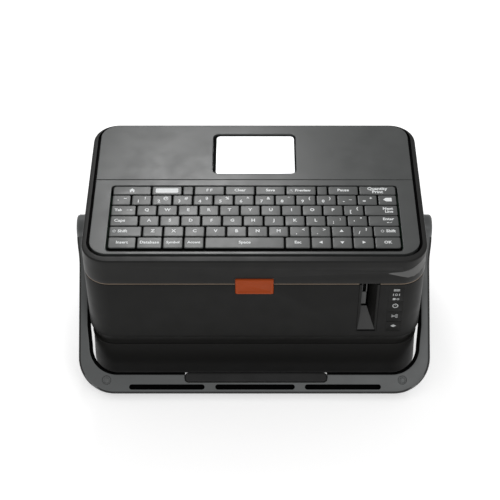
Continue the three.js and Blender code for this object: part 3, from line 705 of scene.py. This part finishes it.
def make_keyboard_panel():
    field = KEY_FIELD
    x = PANEL_HIGH.x
    outline = rounded_rect(-x, x, PANEL_LOW.y, PANEL_HIGH.y, [PANEL_CORNER, 0.6, 0.6, PANEL_CORNER])
    panel = prism("keyboard_panel_fine", outline, PANEL_LOW.z, PANEL_TOP, TOP)
    hole = []
    straight = [(0, PANEL_LOW.z - 2), (0, PANEL_TOP - 1.2)]
    for slope, z in [*straight, (FIELD_SLOPE, PANEL_TOP), (FIELD_SLOPE, PANEL_TOP + 2)]:
        sides = (-field["x"], field["x"], field["front"] - slope, field["rear"])
        hole.append([(px, py, z) for px, py in rounded_rect(*sides, field["corner"], 6)])
    cut(panel, loft("hole", hole, SHADE_BLACK))
    # Painted shade: the slope along the front of the key field takes the near-black skirt colour
    panel.data.materials.append(SKIRT)
    for face in panel.data.polygons:
        centre = face.center / MM
        sloping = 0.3 < face.normal.z < 0.97 and field["front"] - FIELD_SLOPE < centre.y < field["front"]
        if sloping and abs(centre.x) < field["x"]:
            face.material_index = 2
    soften(panel, 0.5, 3, 24)
    place(panel, "lid", "top_plastic", "keyboard_panel")
    for index, cell in enumerate(row_cells(len(KEY_ROWS) - 1)):
        if cell[0] == FILLER:
            _, _, _, left, right, front, rear = cell
            blank = make_cap(left, right, front, rear, PANEL_TOP - 0.15, BLANK)
            blank.name = f"blank_spacer_{index}"
            place(blank, "lid", "top_plastic")


def make_display_panel():
    x = REAR_PANEL_HIGH.x
    corner = PANEL_CORNER
    outline = rounded_rect(-x, x, REAR_PANEL_LOW.y, REAR_PANEL_HIGH.y, [0.6, corner, corner, 0.6])
    panel = prism("display_panel_fine", outline, REAR_PANEL_LOW.z, PANEL_TOP, TOP)
    low, high = GLASS_LOW, GLASS_HIGH
    gap = PARTING
    hole = rounded_rect(low.x - gap, high.x + gap, low.y - gap, high.y + gap, 5.5)
    cut(panel, prism("hole", hole, PANEL_LOW.z - 2, PANEL_TOP + 2, SHADE_BLACK))
    soften(panel, 0.9, 4, 50)
    place(panel, "lid", "top_plastic", "display_panel")
    # Painted shade: the pane is black round the lit screen, widest at the left, for the shade of the window's
    # walls
    pane = rounded_rect(low.x, high.x, low.y, high.y, 5.2)
    glass = prism("display_window_fine", pane, low.z, high.z, SHADE_BLACK)
    soften(glass, 0.3)
    place(glass, "lid", "screen_white", "display_window")
    lit = rounded_rect(low.x + 3, high.x - 1.2, low.y + 0.4, high.y - 1, 4)
    screen = prism("display_screen", lit, high.z - 0.4, high.z + 0.1, SCREEN)
    place(shade(screen), "lid", "screen_white")


# ---------- lid cover

def arc(centre, radius, start, end, steps=6):
    """Points of an arc, in degrees"""
    turns = [math.radians(start + (end - start) * i / steps) for i in range(steps + 1)]
    return [(centre[0] + radius * math.cos(t), centre[1] + radius * math.sin(t)) for t in turns]


def hinge_rods(radius, ranges, material):
    rods = []
    for start, end in ranges:
        rods.append(rod("knuckle", (start, REAR, SEAM), (1, 0, 0), end - start, radius, material, 32))
    return rods


def lid_knuckles(clear):
    half = HINGE["lid_half"] + clear
    return [(x - half, x + half) for x in (-HINGE["x"], HINGE["x"])]


def shell_knuckles(clear):
    near = HINGE["lid_half"] + PARTING - clear
    far = HINGE["shell_half"] + clear
    return [(x + a, x + b) for x in (-HINGE["x"], HINGE["x"]) for a, b in ((-far, -near), (near, far))]


def release_notch():
    x = RELEASE_HIGH.x + PARTING
    low = RELEASE_LOW.z - PARTING
    return block("notch", -x, x, FRONT - 2, FRONT + WALL + 2, low, RELEASE_HIGH.z + PARTING)


# Finger recess round the front right corner: [angle, distance along, depth, low, deepest, high]
SCOOP = [
    [-90, -12, -0.3, 144.2, 144.8, 145.4],
    [-90, -8, 0.5, 143, 144.8, 145.8],
    [-90, 0, 1.4, 140.6, 145, 146.4],
    [-75, 0, 2.0, 138.4, 145.4, 148],
    [-60, 0, 2.1, 138, 146, 150],
    [-45, 0, 2.1, 138.6, 147.6, 152],
    [-30, 0, 2.1, 140.4, 149.6, 153.6],
    [-15, 0, 1.9, 143, 151.4, 154.6],
    [0, 0, 1.2, 146.4, 152.6, 154.8],
    [0, 6, -0.3, 150, 153, 154.6],
]


def scoop_cutter():
    rings = []
    for angle, along, depth, low, deepest, high in SCOOP:
        turn = math.radians(angle)
        out = Vector((math.cos(turn), math.sin(turn)))
        forward = Vector((-out.y, out.x))
        centre = Vector((HALF_WIDTH - CORNER, FRONT + CORNER)) + forward * along
        section = [(-depth, deepest), (0, high), (1, high), (1, low), (0, low)]
        points = [(centre + out * (CORNER + reach), z) for reach, z in section]
        rings.append([(point.x, point.y, z) for point, z in points])
    return loft("scoop", rings, SKIRT)


# Where the recess's faces lie: right of x, up to y behind the front, between two heights
SCOOP_BOX = {"x": 118, "y": 32, "z": (137, 153)}


def in_scoop(centre, normal):
    """Whether a face is part of the recess's floor, which looks outwards and up and takes the painted light
    """
    beside = Vector((centre.x - HALF_WIDTH + CORNER, centre.y - FRONT - CORNER))
    low, high = SCOOP_BOX["z"]
    near_corner = centre.x > SCOOP_BOX["x"] and centre.y < FRONT + SCOOP_BOX["y"] and low < centre.z < high
    return near_corner and 0.08 < normal.z < 0.9 and normal.xy.dot(beside) > 0


def make_lid_cover():
    edge = [(0.7, SEAM + PARTING), (0.25, SEAM + 0.55), (0, SEAM + 1.1), (0, SEAM + 4), (0, RIM_TOP - 6)]
    rim = arc((RIM_RADIUS, RIM_TOP - RIM_RADIUS), RIM_RADIUS, 180, 90, 8)
    outer = [body_ring(inset, z) for inset, z in [*edge, *rim]]
    cover = loft("lid_cover_fine", outer, SKIRT)
    inner = [body_ring(WALL, z) for z in (SEAM - 2, PLATE_TOP - 2)]
    field = KEY_FIELD
    x = PANEL_HIGH.x + GROOVE["side"]
    front, rear = PANEL_LOW.y - GROOVE["front"], REAR_PANEL_HIGH.y + GROOVE["rear"]
    recess = rounded_rect(-x, x, front, rear, PANEL_CORNER + 2)
    low, high = GLASS_LOW, GLASS_HIGH
    under, over = PLATE_TOP - 4, PLATE_TOP + 2
    cut(
        cover,
        loft("inside", inner, SHADE_BLACK),
        prism("recess", recess, PLATE_TOP, RIM_TOP + 2, SHADE_BLACK),
        block("field", -field["x"] - 1, field["x"] + 1, field["front"] - 1, field["rear"] + 1, under, over),
        block("screen", low.x - 4, high.x + 4, low.y - 4, high.y + 4, under, over),
        release_notch(),
        scoop_cutter(),
        *hinge_rods(HINGE["radius"] + HINGE["clear"], shell_knuckles(PARTING), SKIRT),
    )
    weld(cover, *hinge_rods(HINGE["radius"], lid_knuckles(0), SKIRT))
    pin_low, pin_high = box_mm("hinge_pin_left")
    cut(cover, *hinge_rods((pin_high.z - pin_low.z) / 2 + PARTING, lid_knuckles(1), SKIRT))
    set_materials(cover.data, SKIRT, SHADE_BLACK, SCOOP_LIT, RIM)
    for face in cover.data.polygons:
        centre = face.center / MM
        inside = abs(centre.x) < x + 0.1 and front - 0.1 < centre.y < rear + 0.1
        outward = face.normal.x * centre.x + face.normal.y * (centre.y - BODY_Y)
        # Painted shade: the walls of the groove round the top panels take the shade black
        groove = inside and outward < 1 and PLATE_TOP - 0.1 < centre.z < RIM_TOP - 0.3
        # Painted light: the recess floor takes the lighter grey
        face.material_index = 1 if groove else 2 if in_scoop(centre, face.normal) else 0
        # Painted highlight: the upward faces along the top of the rim
        if centre.z > RIM_TOP - RIM_RADIUS and face.normal.z > 0.3:
            face.material_index = 3
    soften(cover, 0.3, 2, 40)
    place(cover, "lid", "top_plastic", "lid_cover")


# ---------- lower shell and base

def cove():
    """Wall that curves inwards above the base seam"""
    height = COVE["top"] - SHELL_LOW.z
    depth = COVE["depth"]
    steps = [i / 8 for i in range(9)]
    return [(depth * math.sin(math.pi / 2 * (1 - t)), SHELL_LOW.z + height * t) for t in steps]


def front_opening(name, x0, x1, z0, z1, keep=PARTING):
    return block(name, x0 - keep, x1 + keep, FRONT - 2, FRONT + 10, z0 - keep, z1 + keep)


def make_lower_shell():
    top = SEAM - PARTING
    outer = [body_ring(i, z) for i, z in [*cove(), (0, 62), (0, top - 1.2), (0.25, top - 0.45), (0.7, top)]]
    shell = loft("lower_shell_fine", outer, SHELL)
    inner = [(5.6, 49.4), (4.8, 52.5), (3.4, 56.5), (WALL, 60), (WALL, SEAM + 3)]
    button_low, button_high = box_mm("feed_button")
    power_high = box_mm("power_button")[1]
    lens_low, lens_high = box_mm("indicator_lens")
    plate_low, plate_high = box_mm("port_plate")
    keep = PARTING
    plate_sides = (plate_low.x - keep, plate_high.x + keep)
    cut(
        shell,
        loft("inside", [body_ring(i, z) for i, z in inner], SHADE_BLACK),
        *hinge_rods(HINGE["radius"] + HINGE["clear"], lid_knuckles(PARTING), SHELL),
    )
    weld(shell, *hinge_rods(HINGE["radius"], shell_knuckles(0), SHELL))
    left, right = button_low.x, button_high.x
    cut(
        shell,
        release_notch(),
        front_opening("outlet", GUIDE_LOW.x, GUIDE_HIGH.x, GUIDE_LOW.z, SEAM + 2),
        front_opening("buttons", left, right, button_low.z, power_high.z, 0.05),
        front_opening("lens", left, right, lens_low.z, lens_high.z, 0.05),
        block("ports", *plate_sides, REAR - 6, REAR + 2, plate_low.z - keep, plate_high.z + keep),
        rod("pivots", (-200, BODY_Y, PIVOT_Z), (1, 0, 0), 400, PIVOT_BORE, SHELL),
    )
    set_materials(shell.data, SHELL)
    soften(shell, 0.12, 2, 40)
    place(shell, "base", "shell_plastic", "lower_shell")


def make_seam_strip():
    """The light strip that shows in the groove between lid and shell, broken at the latch and the outlet"""
    low, high = SEAM - 0.28, SEAM + 0.25
    rings = [body_ring(i, z) for i, z in ((0.3, low), (0.3, high), (2.2, high), (2.2, low))]
    strip = loft("seam_strip", rings, SEAM_STRIP, closed=True)
    x = RELEASE_HIGH.x + PARTING
    spans = [(-x, x), (GUIDE_LOW.x - 0.4, GUIDE_HIGH.x + 0.4)]
    breaks = [block("break", a, b, FRONT - 2, FRONT + 5, SEAM - 2, SEAM + 2) for a, b in spans]
    half = HINGE["strip_half"]
    for middle in (-HINGE["x"], HINGE["x"]):
        breaks.append(block("rear", middle - half, middle + half, REAR - 5, REAR + 3, SEAM - 2, SEAM + 2))
    cut(strip, *breaks)
    place(shade(strip), "base", "shell_plastic")


def make_base():
    bottom, top = BASE_LOW.z, BASE_HIGH.z
    wide, narrow = BASE_INSET["bottom"], BASE_INSET["top"]
    foot = [(wide + BASE_ROUND["in"] * x, bottom + BASE_ROUND["up"] * z) for x, z in arc((1, 1), 1, 270, 180)]
    lip = [(narrow - 0.05, top - 1.8), (narrow - 0.8, top - 1.1)]
    lip += [(narrow - 0.8, top - 0.3), (narrow - 0.4, top)]
    outer = [body_ring(i, max(z, bottom)) for i, z in [*foot, *lip]]
    base = loft("base_housing_fine", outer, BASE)
    door_low, door_high = box_mm("battery_door")
    inner = [body_ring(i, z) for i, z in ((wide + 6, 5), (wide + WALL, 8), (narrow + WALL, top + 2))]
    gap = PARTING
    sides = (door_low.x - gap, door_high.x + gap, door_low.y - gap, door_high.y + gap)
    cut(base, loft("inside", inner, SHADE_BLACK), block("doorway", *sides, 0, 6))
    set_materials(base.data, BASE)
    soften(base, 0.25, 2, 40)
    place(base, "base", "base_plastic", "base_housing")


# ---------- front details

def front_ring(x0, x1, z0, z1, radius, y, steps=4):
    """An outline in the front plane, as seen from the front"""
    return [(x, y, z) for x, z in rounded_rect(x0, x1, z0, z1, radius, steps)]


def make_release():
    low, high = RELEASE_LOW, RELEASE_HIGH
    face = low.y
    rings = []
    walls = [(0, face + 3.5), (0, face + 0.9), (0.3, face + 0.3)]
    for inset, y in [*walls, (0.9, face), (2.6, face), (3.2, face + 0.6)]:
        sides = (low.x + inset, high.x - inset, low.z + inset, high.z - inset * 1.25)
        rings.append(front_ring(*sides, max(1.5 - inset * 0.5, 0.5), y))
    button = shade(loft("release_button_fine", list(reversed(rings)), ORANGE), 50)
    stem = block("stem", -10, 10, face + 3, face + 10, low.z + 2, low.z + 12, ORANGE)
    place(join("release_button_fine", [button, stem]), "release", "release_orange", "release_button")


# Label outlet: sides of its pieces along x, heights along z, and depths behind the front wall
OUTLET = {
    "left": 98, "slot": (101.3, 104.7), "pocket_foot": 67.2, "pocket_throat": 92, "slot_foot": 93,
    "ramp_foot": 67.4, "ramp_top": 93.7, "plate": (97.5, 113.4), "lip_foot": 114, "back": 7.3,
}


def make_outlet():
    """The label outlet: a slot and pocket in painted-shade black, with a light guide plate, over a ramp that
    widens to the front
    """
    low, high = GUIDE_LOW, GUIDE_HIGH
    front = FRONT
    left = OUTLET["left"]
    back = front + OUTLET["back"]
    guide = block("outlet_guide_fine", low.x, high.x, front, high.y, low.z, high.z, SHADE_BLACK)
    pocket_bottom = [(95.7, front - 2), (113.3, front - 2), (113, front + 0.6), (96, front + 0.6)]
    pocket_top = [(97.6, front - 2), (113.3, front - 2), (104.5, front + 8.5), (left, front + 8.5)]
    levels = [(OUTLET["pocket_foot"], pocket_bottom), (OUTLET["pocket_throat"], pocket_top)]
    levels.append((high.z + 4, pocket_top))
    pocket = [[(x, y, z) for x, y in outline] for z, outline in levels]
    slot = block("slot", *OUTLET["slot"], front + 7, high.y + 1, OUTLET["slot_foot"], high.z + 4)
    cut(guide, loft("pocket", pocket, SHADE_BLACK), slot)
    # Painted shade: the guide is shade black inside the slot and pocket; its flush front and right wall take
    # the shell colour
    guide.data.materials.append(SHELL)
    for face in guide.data.polygons:
        flush = face.normal.y < -0.99 and face.center.y / MM < front + 0.1
        side = face.normal.x < -0.3 and face.center.x / MM > 104
        face.material_index = 1 if flush or side else 0
    place(shade(guide), "base", "shell_plastic", "outlet_guide")
    foot, top = OUTLET["ramp_foot"], OUTLET["ramp_top"]
    corners = [(95.2, front + 0.7, foot), (112.6, front + 0.7, foot)]
    corners += [(103.9, front + 7.6, top), (98.4, front + 7.6, top)]
    ramp = loft("outlet_ramp", [corners, [(x, y + 1, z) for x, y, z in corners]], RAMP_LIT)
    place(soften(ramp, 0.25), "base", "shell_plastic")
    plate = block("label_guide_plate", left, left + 4.6, front + 6.6, back, *OUTLET["plate"], GUIDE_GREY)
    place(soften(plate, 0.2), "base", "shell_plastic")
    heights = (OUTLET["lip_foot"], high.z - PARTING)
    for name, x0, x1 in (("left", left, left + 0.9), ("right", left + 3.9, left + 4.9)):
        strip = block(f"slot_lip_{name}", x0, x1, front + 6.2, back, *heights, GUIDE_GREY)
        place(soften(strip, 0.15), "base", "shell_plastic")


def front_mark(points):
    """A flat shape printed on the front wall"""
    y = FRONT - MARK_LIFT
    return make_object("mark", [(x, y, z) for x, z in points], [tuple(range(len(points)))], DIM_INK)


def front_stroke(start, end, width):
    return front_mark(stroke_corners(start, end, width))


def ring_mark(x, z, radius, width, sides=20):
    turns = [2 * math.pi * i / sides for i in range(sides + 1)]
    rim = [(x + radius * math.cos(t), z + radius * math.sin(t)) for t in turns]
    return [front_stroke(a, b, width) for a, b in zip(rim, rim[1:])]


def power_mark(x, z):
    return [*ring_mark(x, z, 2.3, 1.0), front_stroke((x, z + 0.6), (x, z + 3.2), 0.9)]


def scissors_mark(x, z):
    parts = [front_stroke((x - 2.7, z - 1.4), (x + 1.8, z + 1.1), 0.8)]
    parts.append(front_stroke((x - 2.7, z + 1.4), (x + 1.8, z - 1.1), 0.8))
    for height in (-1.3, 1.3):
        parts += ring_mark(x + 2.1, z + height, 0.85, 0.6, 12)
    return parts


def feed_mark(x, z):
    return [front_mark([(x - 2.7, z), (x, z - 1.9), (x + 2.7, z), (x, z + 1.9)])]


def indicator_marks(x, z):
    """Three small marks on the lens: a block of dashes, a ring in a frame, and a square beside a ring"""
    parts = []
    for row in (-0.9, 0.1, 1.1):
        parts.append(front_stroke((x - 2.8, z[0] + row), (x + 2.8, z[0] + row), 0.6))
    parts += ring_mark(x, z[1], 1.1, 0.7, 12)
    for side in (-1, 1):
        parts.append(front_stroke((x + side * 2.8, z[1] - 1.4), (x + side * 2.8, z[1] + 1.4), 0.7))
    parts.append(front_mark(rounded_rect(x - 3, x - 0.4, z[2] - 1.3, z[2] + 1.3, 0.3, 2)))
    parts += ring_mark(x + 1.7, z[2], 1.0, 0.7, 12)
    return parts


MARK_HEIGHTS = {"power": 101.6, "cut": 87.7, "feed": 74.1}
INDICATOR_HEIGHTS = (122.4, 116.5, 110.7)


def make_buttons():
    marks = {"power": power_mark, "cut": scissors_mark, "feed": feed_mark}
    for body, draw in marks.items():
        node = body + "_button"
        fine_copy(node, body, "shell_plastic", SHELL, 0.1)
        low, high = box_mm(node)
        mark = join(body + "_mark", draw((low.x + high.x) / 2, MARK_HEIGHTS[body]))
        place(mark, body, "shell_plastic")
    fine_copy("indicator_lens", "base", "lens_plastic", SHELL, 0.1)
    low, high = box_mm("indicator_lens")
    marks = indicator_marks((low.x + high.x) / 2, INDICATOR_HEIGHTS)
    place(join("indicator_marks", marks), "base", "lens_plastic")


# ---------- carry handle

HANDLE = {
    "outer": 159, "inner": 139, "thick": 16, "arm_inner": 157, "arm_outer": 167.3,
    "corner_inner": 155, "narrow": (94, 114), "boss": 169.8, "boss_radius": 12.5,
    "outer_corner": 34.5, "inner_corner": 24.5, "fillet": 3,
}
SLOT_Y = -152.6
SLOT_HALF = 2.5
GRIP = {"left": -66.5, "right": 69.5, "outer": 148.5}
BAR_SLOTS = [(-119, -47.3), (-37.2, 38.4), (47.9, 120.2)]
CAP_X = 140.5
CAP_Y = -146
CAP_RADIUS = 4


def handle_place(piece):
    """From the plane of the bail, where the bar is towards -Y, to its rest place"""
    turn = Matrix.Rotation(math.radians(TILT), 4, "X")
    spot = Matrix.Translation(Vector((0, BODY_Y, PIVOT_Z)) * MM)
    piece.data.transform(spot @ turn)
    return piece


def bezier(points, steps=10):
    curve = []
    for i in range(steps + 1):
        t = i / steps
        weights = [(1 - t) ** 3, 3 * t * (1 - t) ** 2, 3 * t * t * (1 - t), t ** 3]
        x = sum(w * p[0] for w, p in zip(weights, points))
        y = sum(w * p[1] for w, p in zip(weights, points))
        curve.append((x, y))
    return curve


def bail_outline():
    h = HANDLE
    side, boss = h["arm_outer"], h["boss"]
    inner, corner_inner = h["arm_inner"], h["corner_inner"]
    blend = bezier([(boss, -6), (boss, -20), (side, -24), (side, -38)])
    corner = arc((side - h["outer_corner"], -h["outer"] + h["outer_corner"]), h["outer_corner"], 0, -90, 18)
    radius = h["inner_corner"]
    inside = arc((corner_inner - radius, -h["inner"] + radius), radius, -90, 0, 14)
    right = [(boss, 8), *blend, *corner]
    start, end = h["narrow"]
    back = [*inside, (corner_inner, -end), (inner, -start), (inner, 8)]
    left = [(-x, y) for x, y in reversed(right)]
    left_back = [(-x, y) for x, y in reversed(back)]
    return list(reversed([*right, *left, *left_back, *back]))


def boss_blank(sign):
    h = HANDLE
    length = h["boss"] - h["arm_inner"]
    edge = arc((length - 3, h["boss_radius"] - 3), 3, 90, 0, 6)
    start = (sign * h["arm_inner"], 0, 0)
    return turned("boss", start, (sign, 0, 0), [(0, h["boss_radius"]), *edge], HANDLE_MATERIAL, 56)


def shade_bail(mesh, half):
    """Painted shade: black in the bar's slots and along the inner edges, dark grey along the outer edges"""
    h = HANDLE
    for face in mesh.polygons:
        centre = face.center / MM
        normal = face.normal
        in_slot = abs(centre.y - SLOT_Y) < SLOT_HALF + 0.1 and abs(centre.z) < half - 0.5
        in_span = any(x0 - 0.1 < centre.x < x1 + 0.1 for x0, x1 in BAR_SLOTS)
        away = abs(centre.x) < h["arm_inner"] + 4.3 and -h["inner"] - 3 < centre.y < -25
        outward_x = normal.x * math.copysign(1, centre.x)
        inward = outward_x < -0.3 or normal.y > 0.3
        on_boss = math.hypot(centre.y, centre.z) < h["boss_radius"] + 0.1
        edge = centre.y < 0 and not on_boss and (outward_x > 0.4 or normal.y < -0.4)
        black = in_slot and in_span or away and inward
        face.material_index = 1 if black else 2 if edge and not in_slot else 0


def make_bail():
    h = HANDLE
    half = h["thick"] / 2
    bail = prism("handle_bail_fine", bail_outline(), -half, half, HANDLE_MATERIAL)
    add_bevel(bail, h["fillet"], 5, 60)
    bake_modifiers(bail)
    weld(bail, boss_blank(-1), boss_blank(1))
    cutters = []
    for sign in (-1, 1):
        cutters.append(rod("bore", (sign * 150, 0, 0), (sign, 0, 0), 14.9, PIVOT_BORE, HANDLE_MATERIAL))
    for x0, x1 in BAR_SLOTS:
        outline = rounded_rect(x0, x1, SLOT_Y - SLOT_HALF, SLOT_Y + SLOT_HALF, SLOT_HALF, 8)
        cutters.append(prism("slot", outline, half - 8, half + 2, SHADE_BLACK))
    notch = rounded_rect(GRIP["left"], GRIP["right"], -GRIP["outer"], 20 - h["inner"], 4)
    cutters.append(prism("notch", notch, -half - 2, half + 2, HANDLE_MATERIAL))
    for sign in (-1, 1):
        seat = (sign * CAP_X, CAP_Y, half - 1.5)
        cutters.append(rod("cap_seat", seat, (0, 0, 1), 5, CAP_RADIUS + PARTING, HANDLE_MATERIAL))
    cut(bail, *cutters)
    set_materials(bail.data, HANDLE_MATERIAL, SHADE_BLACK, HANDLE_EDGE_SHADE)
    shade_bail(bail.data, half)
    soften(bail, 0.35, 2, 40)
    handle_place(bail)
    place(bail, "handle", "handle_plastic", "handle_bail")


def make_grip():
    h = HANDLE
    half = h["thick"] / 2
    gap = PARTING
    outline = rounded_rect(GRIP["left"] + gap, GRIP["right"] - gap, -GRIP["outer"] + gap, -h["inner"], 3.7)
    grip = prism("handle_grip_fine", outline, -half, half, RUBBER)
    soften(grip, 2, 5, 50)
    handle_place(grip)
    place(grip, "handle", "soft_rubber", "handle_grip")


def make_handle_caps():
    """Round caps with a ring-shaped groove in their faces"""
    half = HANDLE["thick"] / 2
    rim = [(0, CAP_RADIUS), (0.9, CAP_RADIUS), (1.15, 3.8), (1.25, 3.5)]
    groove = [(1.2, 3.1), (0.75, 2.9), (0.7, 2.5), (1.05, 2.1)]
    profile = [*rim, *groove, (1.25, 1.5), (1.3, 0.7)]
    for side, sign in (("left", -1), ("right", 1)):
        start = (sign * CAP_X, CAP_Y, half - 1.25)
        cap = turned("handle_cap_fine_" + side, start, (0, 0, 1), profile, HANDLE_MATERIAL)
        handle_place(shade(cap, 60))
        place(cap, "handle", "handle_plastic", "handle_cap_" + side)


# ---------- what shows with the lid open

SIDES = ("left", "right")


def make_inside():
    copies = [
        ("battery_door", "base", "base_plastic", BASE),
        ("battery_pack", "base", "battery_wrap", BATTERY),
        ("inner_deck", "base", "base_plastic", SHELL),
        ("tape_cassette", "base", "cassette_plastic", CASSETTE),
        ("ribbon_cassette", "base", "ribbon_plastic", RIBBON),
        ("print_head", "base", "steel", STEEL),
        ("feed_motor", "base", "steel", STEEL),
        ("main_board", "base", "circuit_board", BOARD),
        ("port_plate", "base", "base_plastic", BASE),
        ("dc_jack", "base", "soft_rubber", RUBBER),
        ("usb_port", "base", "steel", STEEL),
        ("latch_catch", "base", "steel", STEEL),
        *[(f"{pin}_pin_{side}", "base", "steel", STEEL) for pin in ("pivot", "hinge") for side in SIDES],
        ("cutter_blade", "cutter", "steel", STEEL),
        ("platen_shaft", "platen", "steel", STEEL),
        ("platen_roller", "platen", "soft_rubber", RUBBER),
        ("platen_gear", "platen", "gear_plastic", GEAR_WHITE),
        ("motor_pinion", "pinion", "gear_plastic", GEAR_WHITE),
        ("latch_hook", "lid", "steel", STEEL),
        ("lid_liner", "lid", "base_plastic", SHELL),
        ("keyboard_board", "lid", "circuit_board", BOARD),
        ("display_module", "lid", "steel", STEEL),
    ]
    for node, body, slot, material in copies:
        fine_copy(node, body, slot, material, 0.15 if "gear" in node or "pinion" in node else 0.3)
    for end in ("front", "rear"):
        for side in SIDES:
            fine_copy(f"foot_{end}_{side}", "base", "soft_rubber", RUBBER, 0.6, 3)


DECK_SCREWS = [(-140, -60), (-140, 85), (140, 85), (-12, 85), (-12, -30)]


def make_inside_details():
    """Blank label and hubs on the cassettes, screws in the deck, and ribs under the lid"""
    tape_low, tape_high = box_mm("tape_cassette")
    ribbon_low, ribbon_high = box_mm("ribbon_cassette")
    deck_top = box_mm("inner_deck")[1].z
    outline = rounded_rect(tape_low.x + 8, tape_high.x - 12, tape_high.y - 34, tape_high.y - 8, 2, 4)
    label = prism("tape_label", outline, tape_high.z - 0.1, tape_high.z + 0.15, BLANK_LABEL)
    place(shade(label), "base", "cassette_plastic")
    middle = (ribbon_low.x + ribbon_high.x) / 2
    for index, y in enumerate((ribbon_low.y + 22, ribbon_high.y - 22)):
        profile = [(-0.2, 11), (0.9, 11), (1.2, 10.6), (1.2, 6.6), (0.2, 6.2), (0.2, 1)]
        hub = turned(f"ribbon_hub_{index}", (middle, y, ribbon_high.z), (0, 0, 1), profile, CASSETTE)
        place(shade(hub), "base", "cassette_plastic")
    for index, (x, y) in enumerate(DECK_SCREWS):
        profile = [(-0.1, 3.4), (0.9, 3.2), (1.3, 2.4), (0.5, 1.5), (0.5, 0.5)]
        screw = turned(f"deck_screw_{index}", (x, y, deck_top), (0, 0, 1), profile, STEEL, 24)
        place(shade(screw, 30), "base", "steel")
    liner_bottom = box_mm("lid_liner")[0].z
    heights = (liner_bottom - 2.5, liner_bottom + 0.1)
    for index, x in enumerate(range(-100, 101, 50)):
        rib = block(f"lid_rib_{index}", x - 1, x + 1, FRONT + 22, REAR - 22, *heights, SHELL)
        place(soften(rib, 0.4), "lid", "base_plastic")


# ---------- stage

def aim(thing, target):
    direction = Vector(target) - thing.location
    thing.rotation_euler = direction.to_track_quat("-Z", "Y").to_euler()


def add_light(name, location, target, size, power):
    data = bpy.data.lights.new(name, "AREA")
    data.shape = "RECTANGLE"
    data.size, data.size_y = size
    data.energy = power
    light = add_object(name, data)
    light.location = location
    aim(light, target)


def make_stage():
    far = 9000
    corners = [(-far, -far, 0), (far, -far, 0), (far, far, 0), (-far, far, 0)]
    make_object("floor", corners, [(0, 1, 2, 3)], glowing("floor_white", (0.9, 0.9, 0.9), 0.51))
    world = bpy.data.worlds.new("studio")
    world.use_nodes = True
    set_inputs(world.node_tree.nodes["Background"], {"Color": (1, 1, 1, 1), "Strength": 0.55})
    bpy.context.scene.world = world
    add_light("rear_box", (-0.08, 0.5, 0.73), (0, -0.06, 0.16), (0.26, 0.3), 2.2)
    add_light("side_box", (0.45, -0.95, 1.05), (0.1, -0.05, 0.1), (0.5, 0.5), 2.0)
    bpy.context.scene.view_settings.view_transform = "Standard"


CAMERA = {"lens": 99.7, "shift": -0.0088, "back": 952, "up": 1041.5, "tilt": 44.7}


def make_camera():
    data = bpy.data.cameras.new("camera")
    data.lens = CAMERA["lens"]
    data.sensor_width = 36
    data.shift_x = CAMERA["shift"]
    camera = add_object("camera", data)
    camera.location = Vector((0, BODY_Y - CAMERA["back"], CAMERA["up"])) * MM
    camera.rotation_euler = (math.radians(CAMERA["tilt"]), 0, 0)
    bpy.context.scene.camera = camera


make_camera()
make_stage()
make_keyboard_panel()
make_display_panel()
make_keys()
make_key_seal()
make_lid_cover()
make_lower_shell()
make_seam_strip()
make_base()
make_release()
make_outlet()
make_buttons()
make_bail()
make_grip()
make_handle_caps()
make_inside()
make_inside_details()
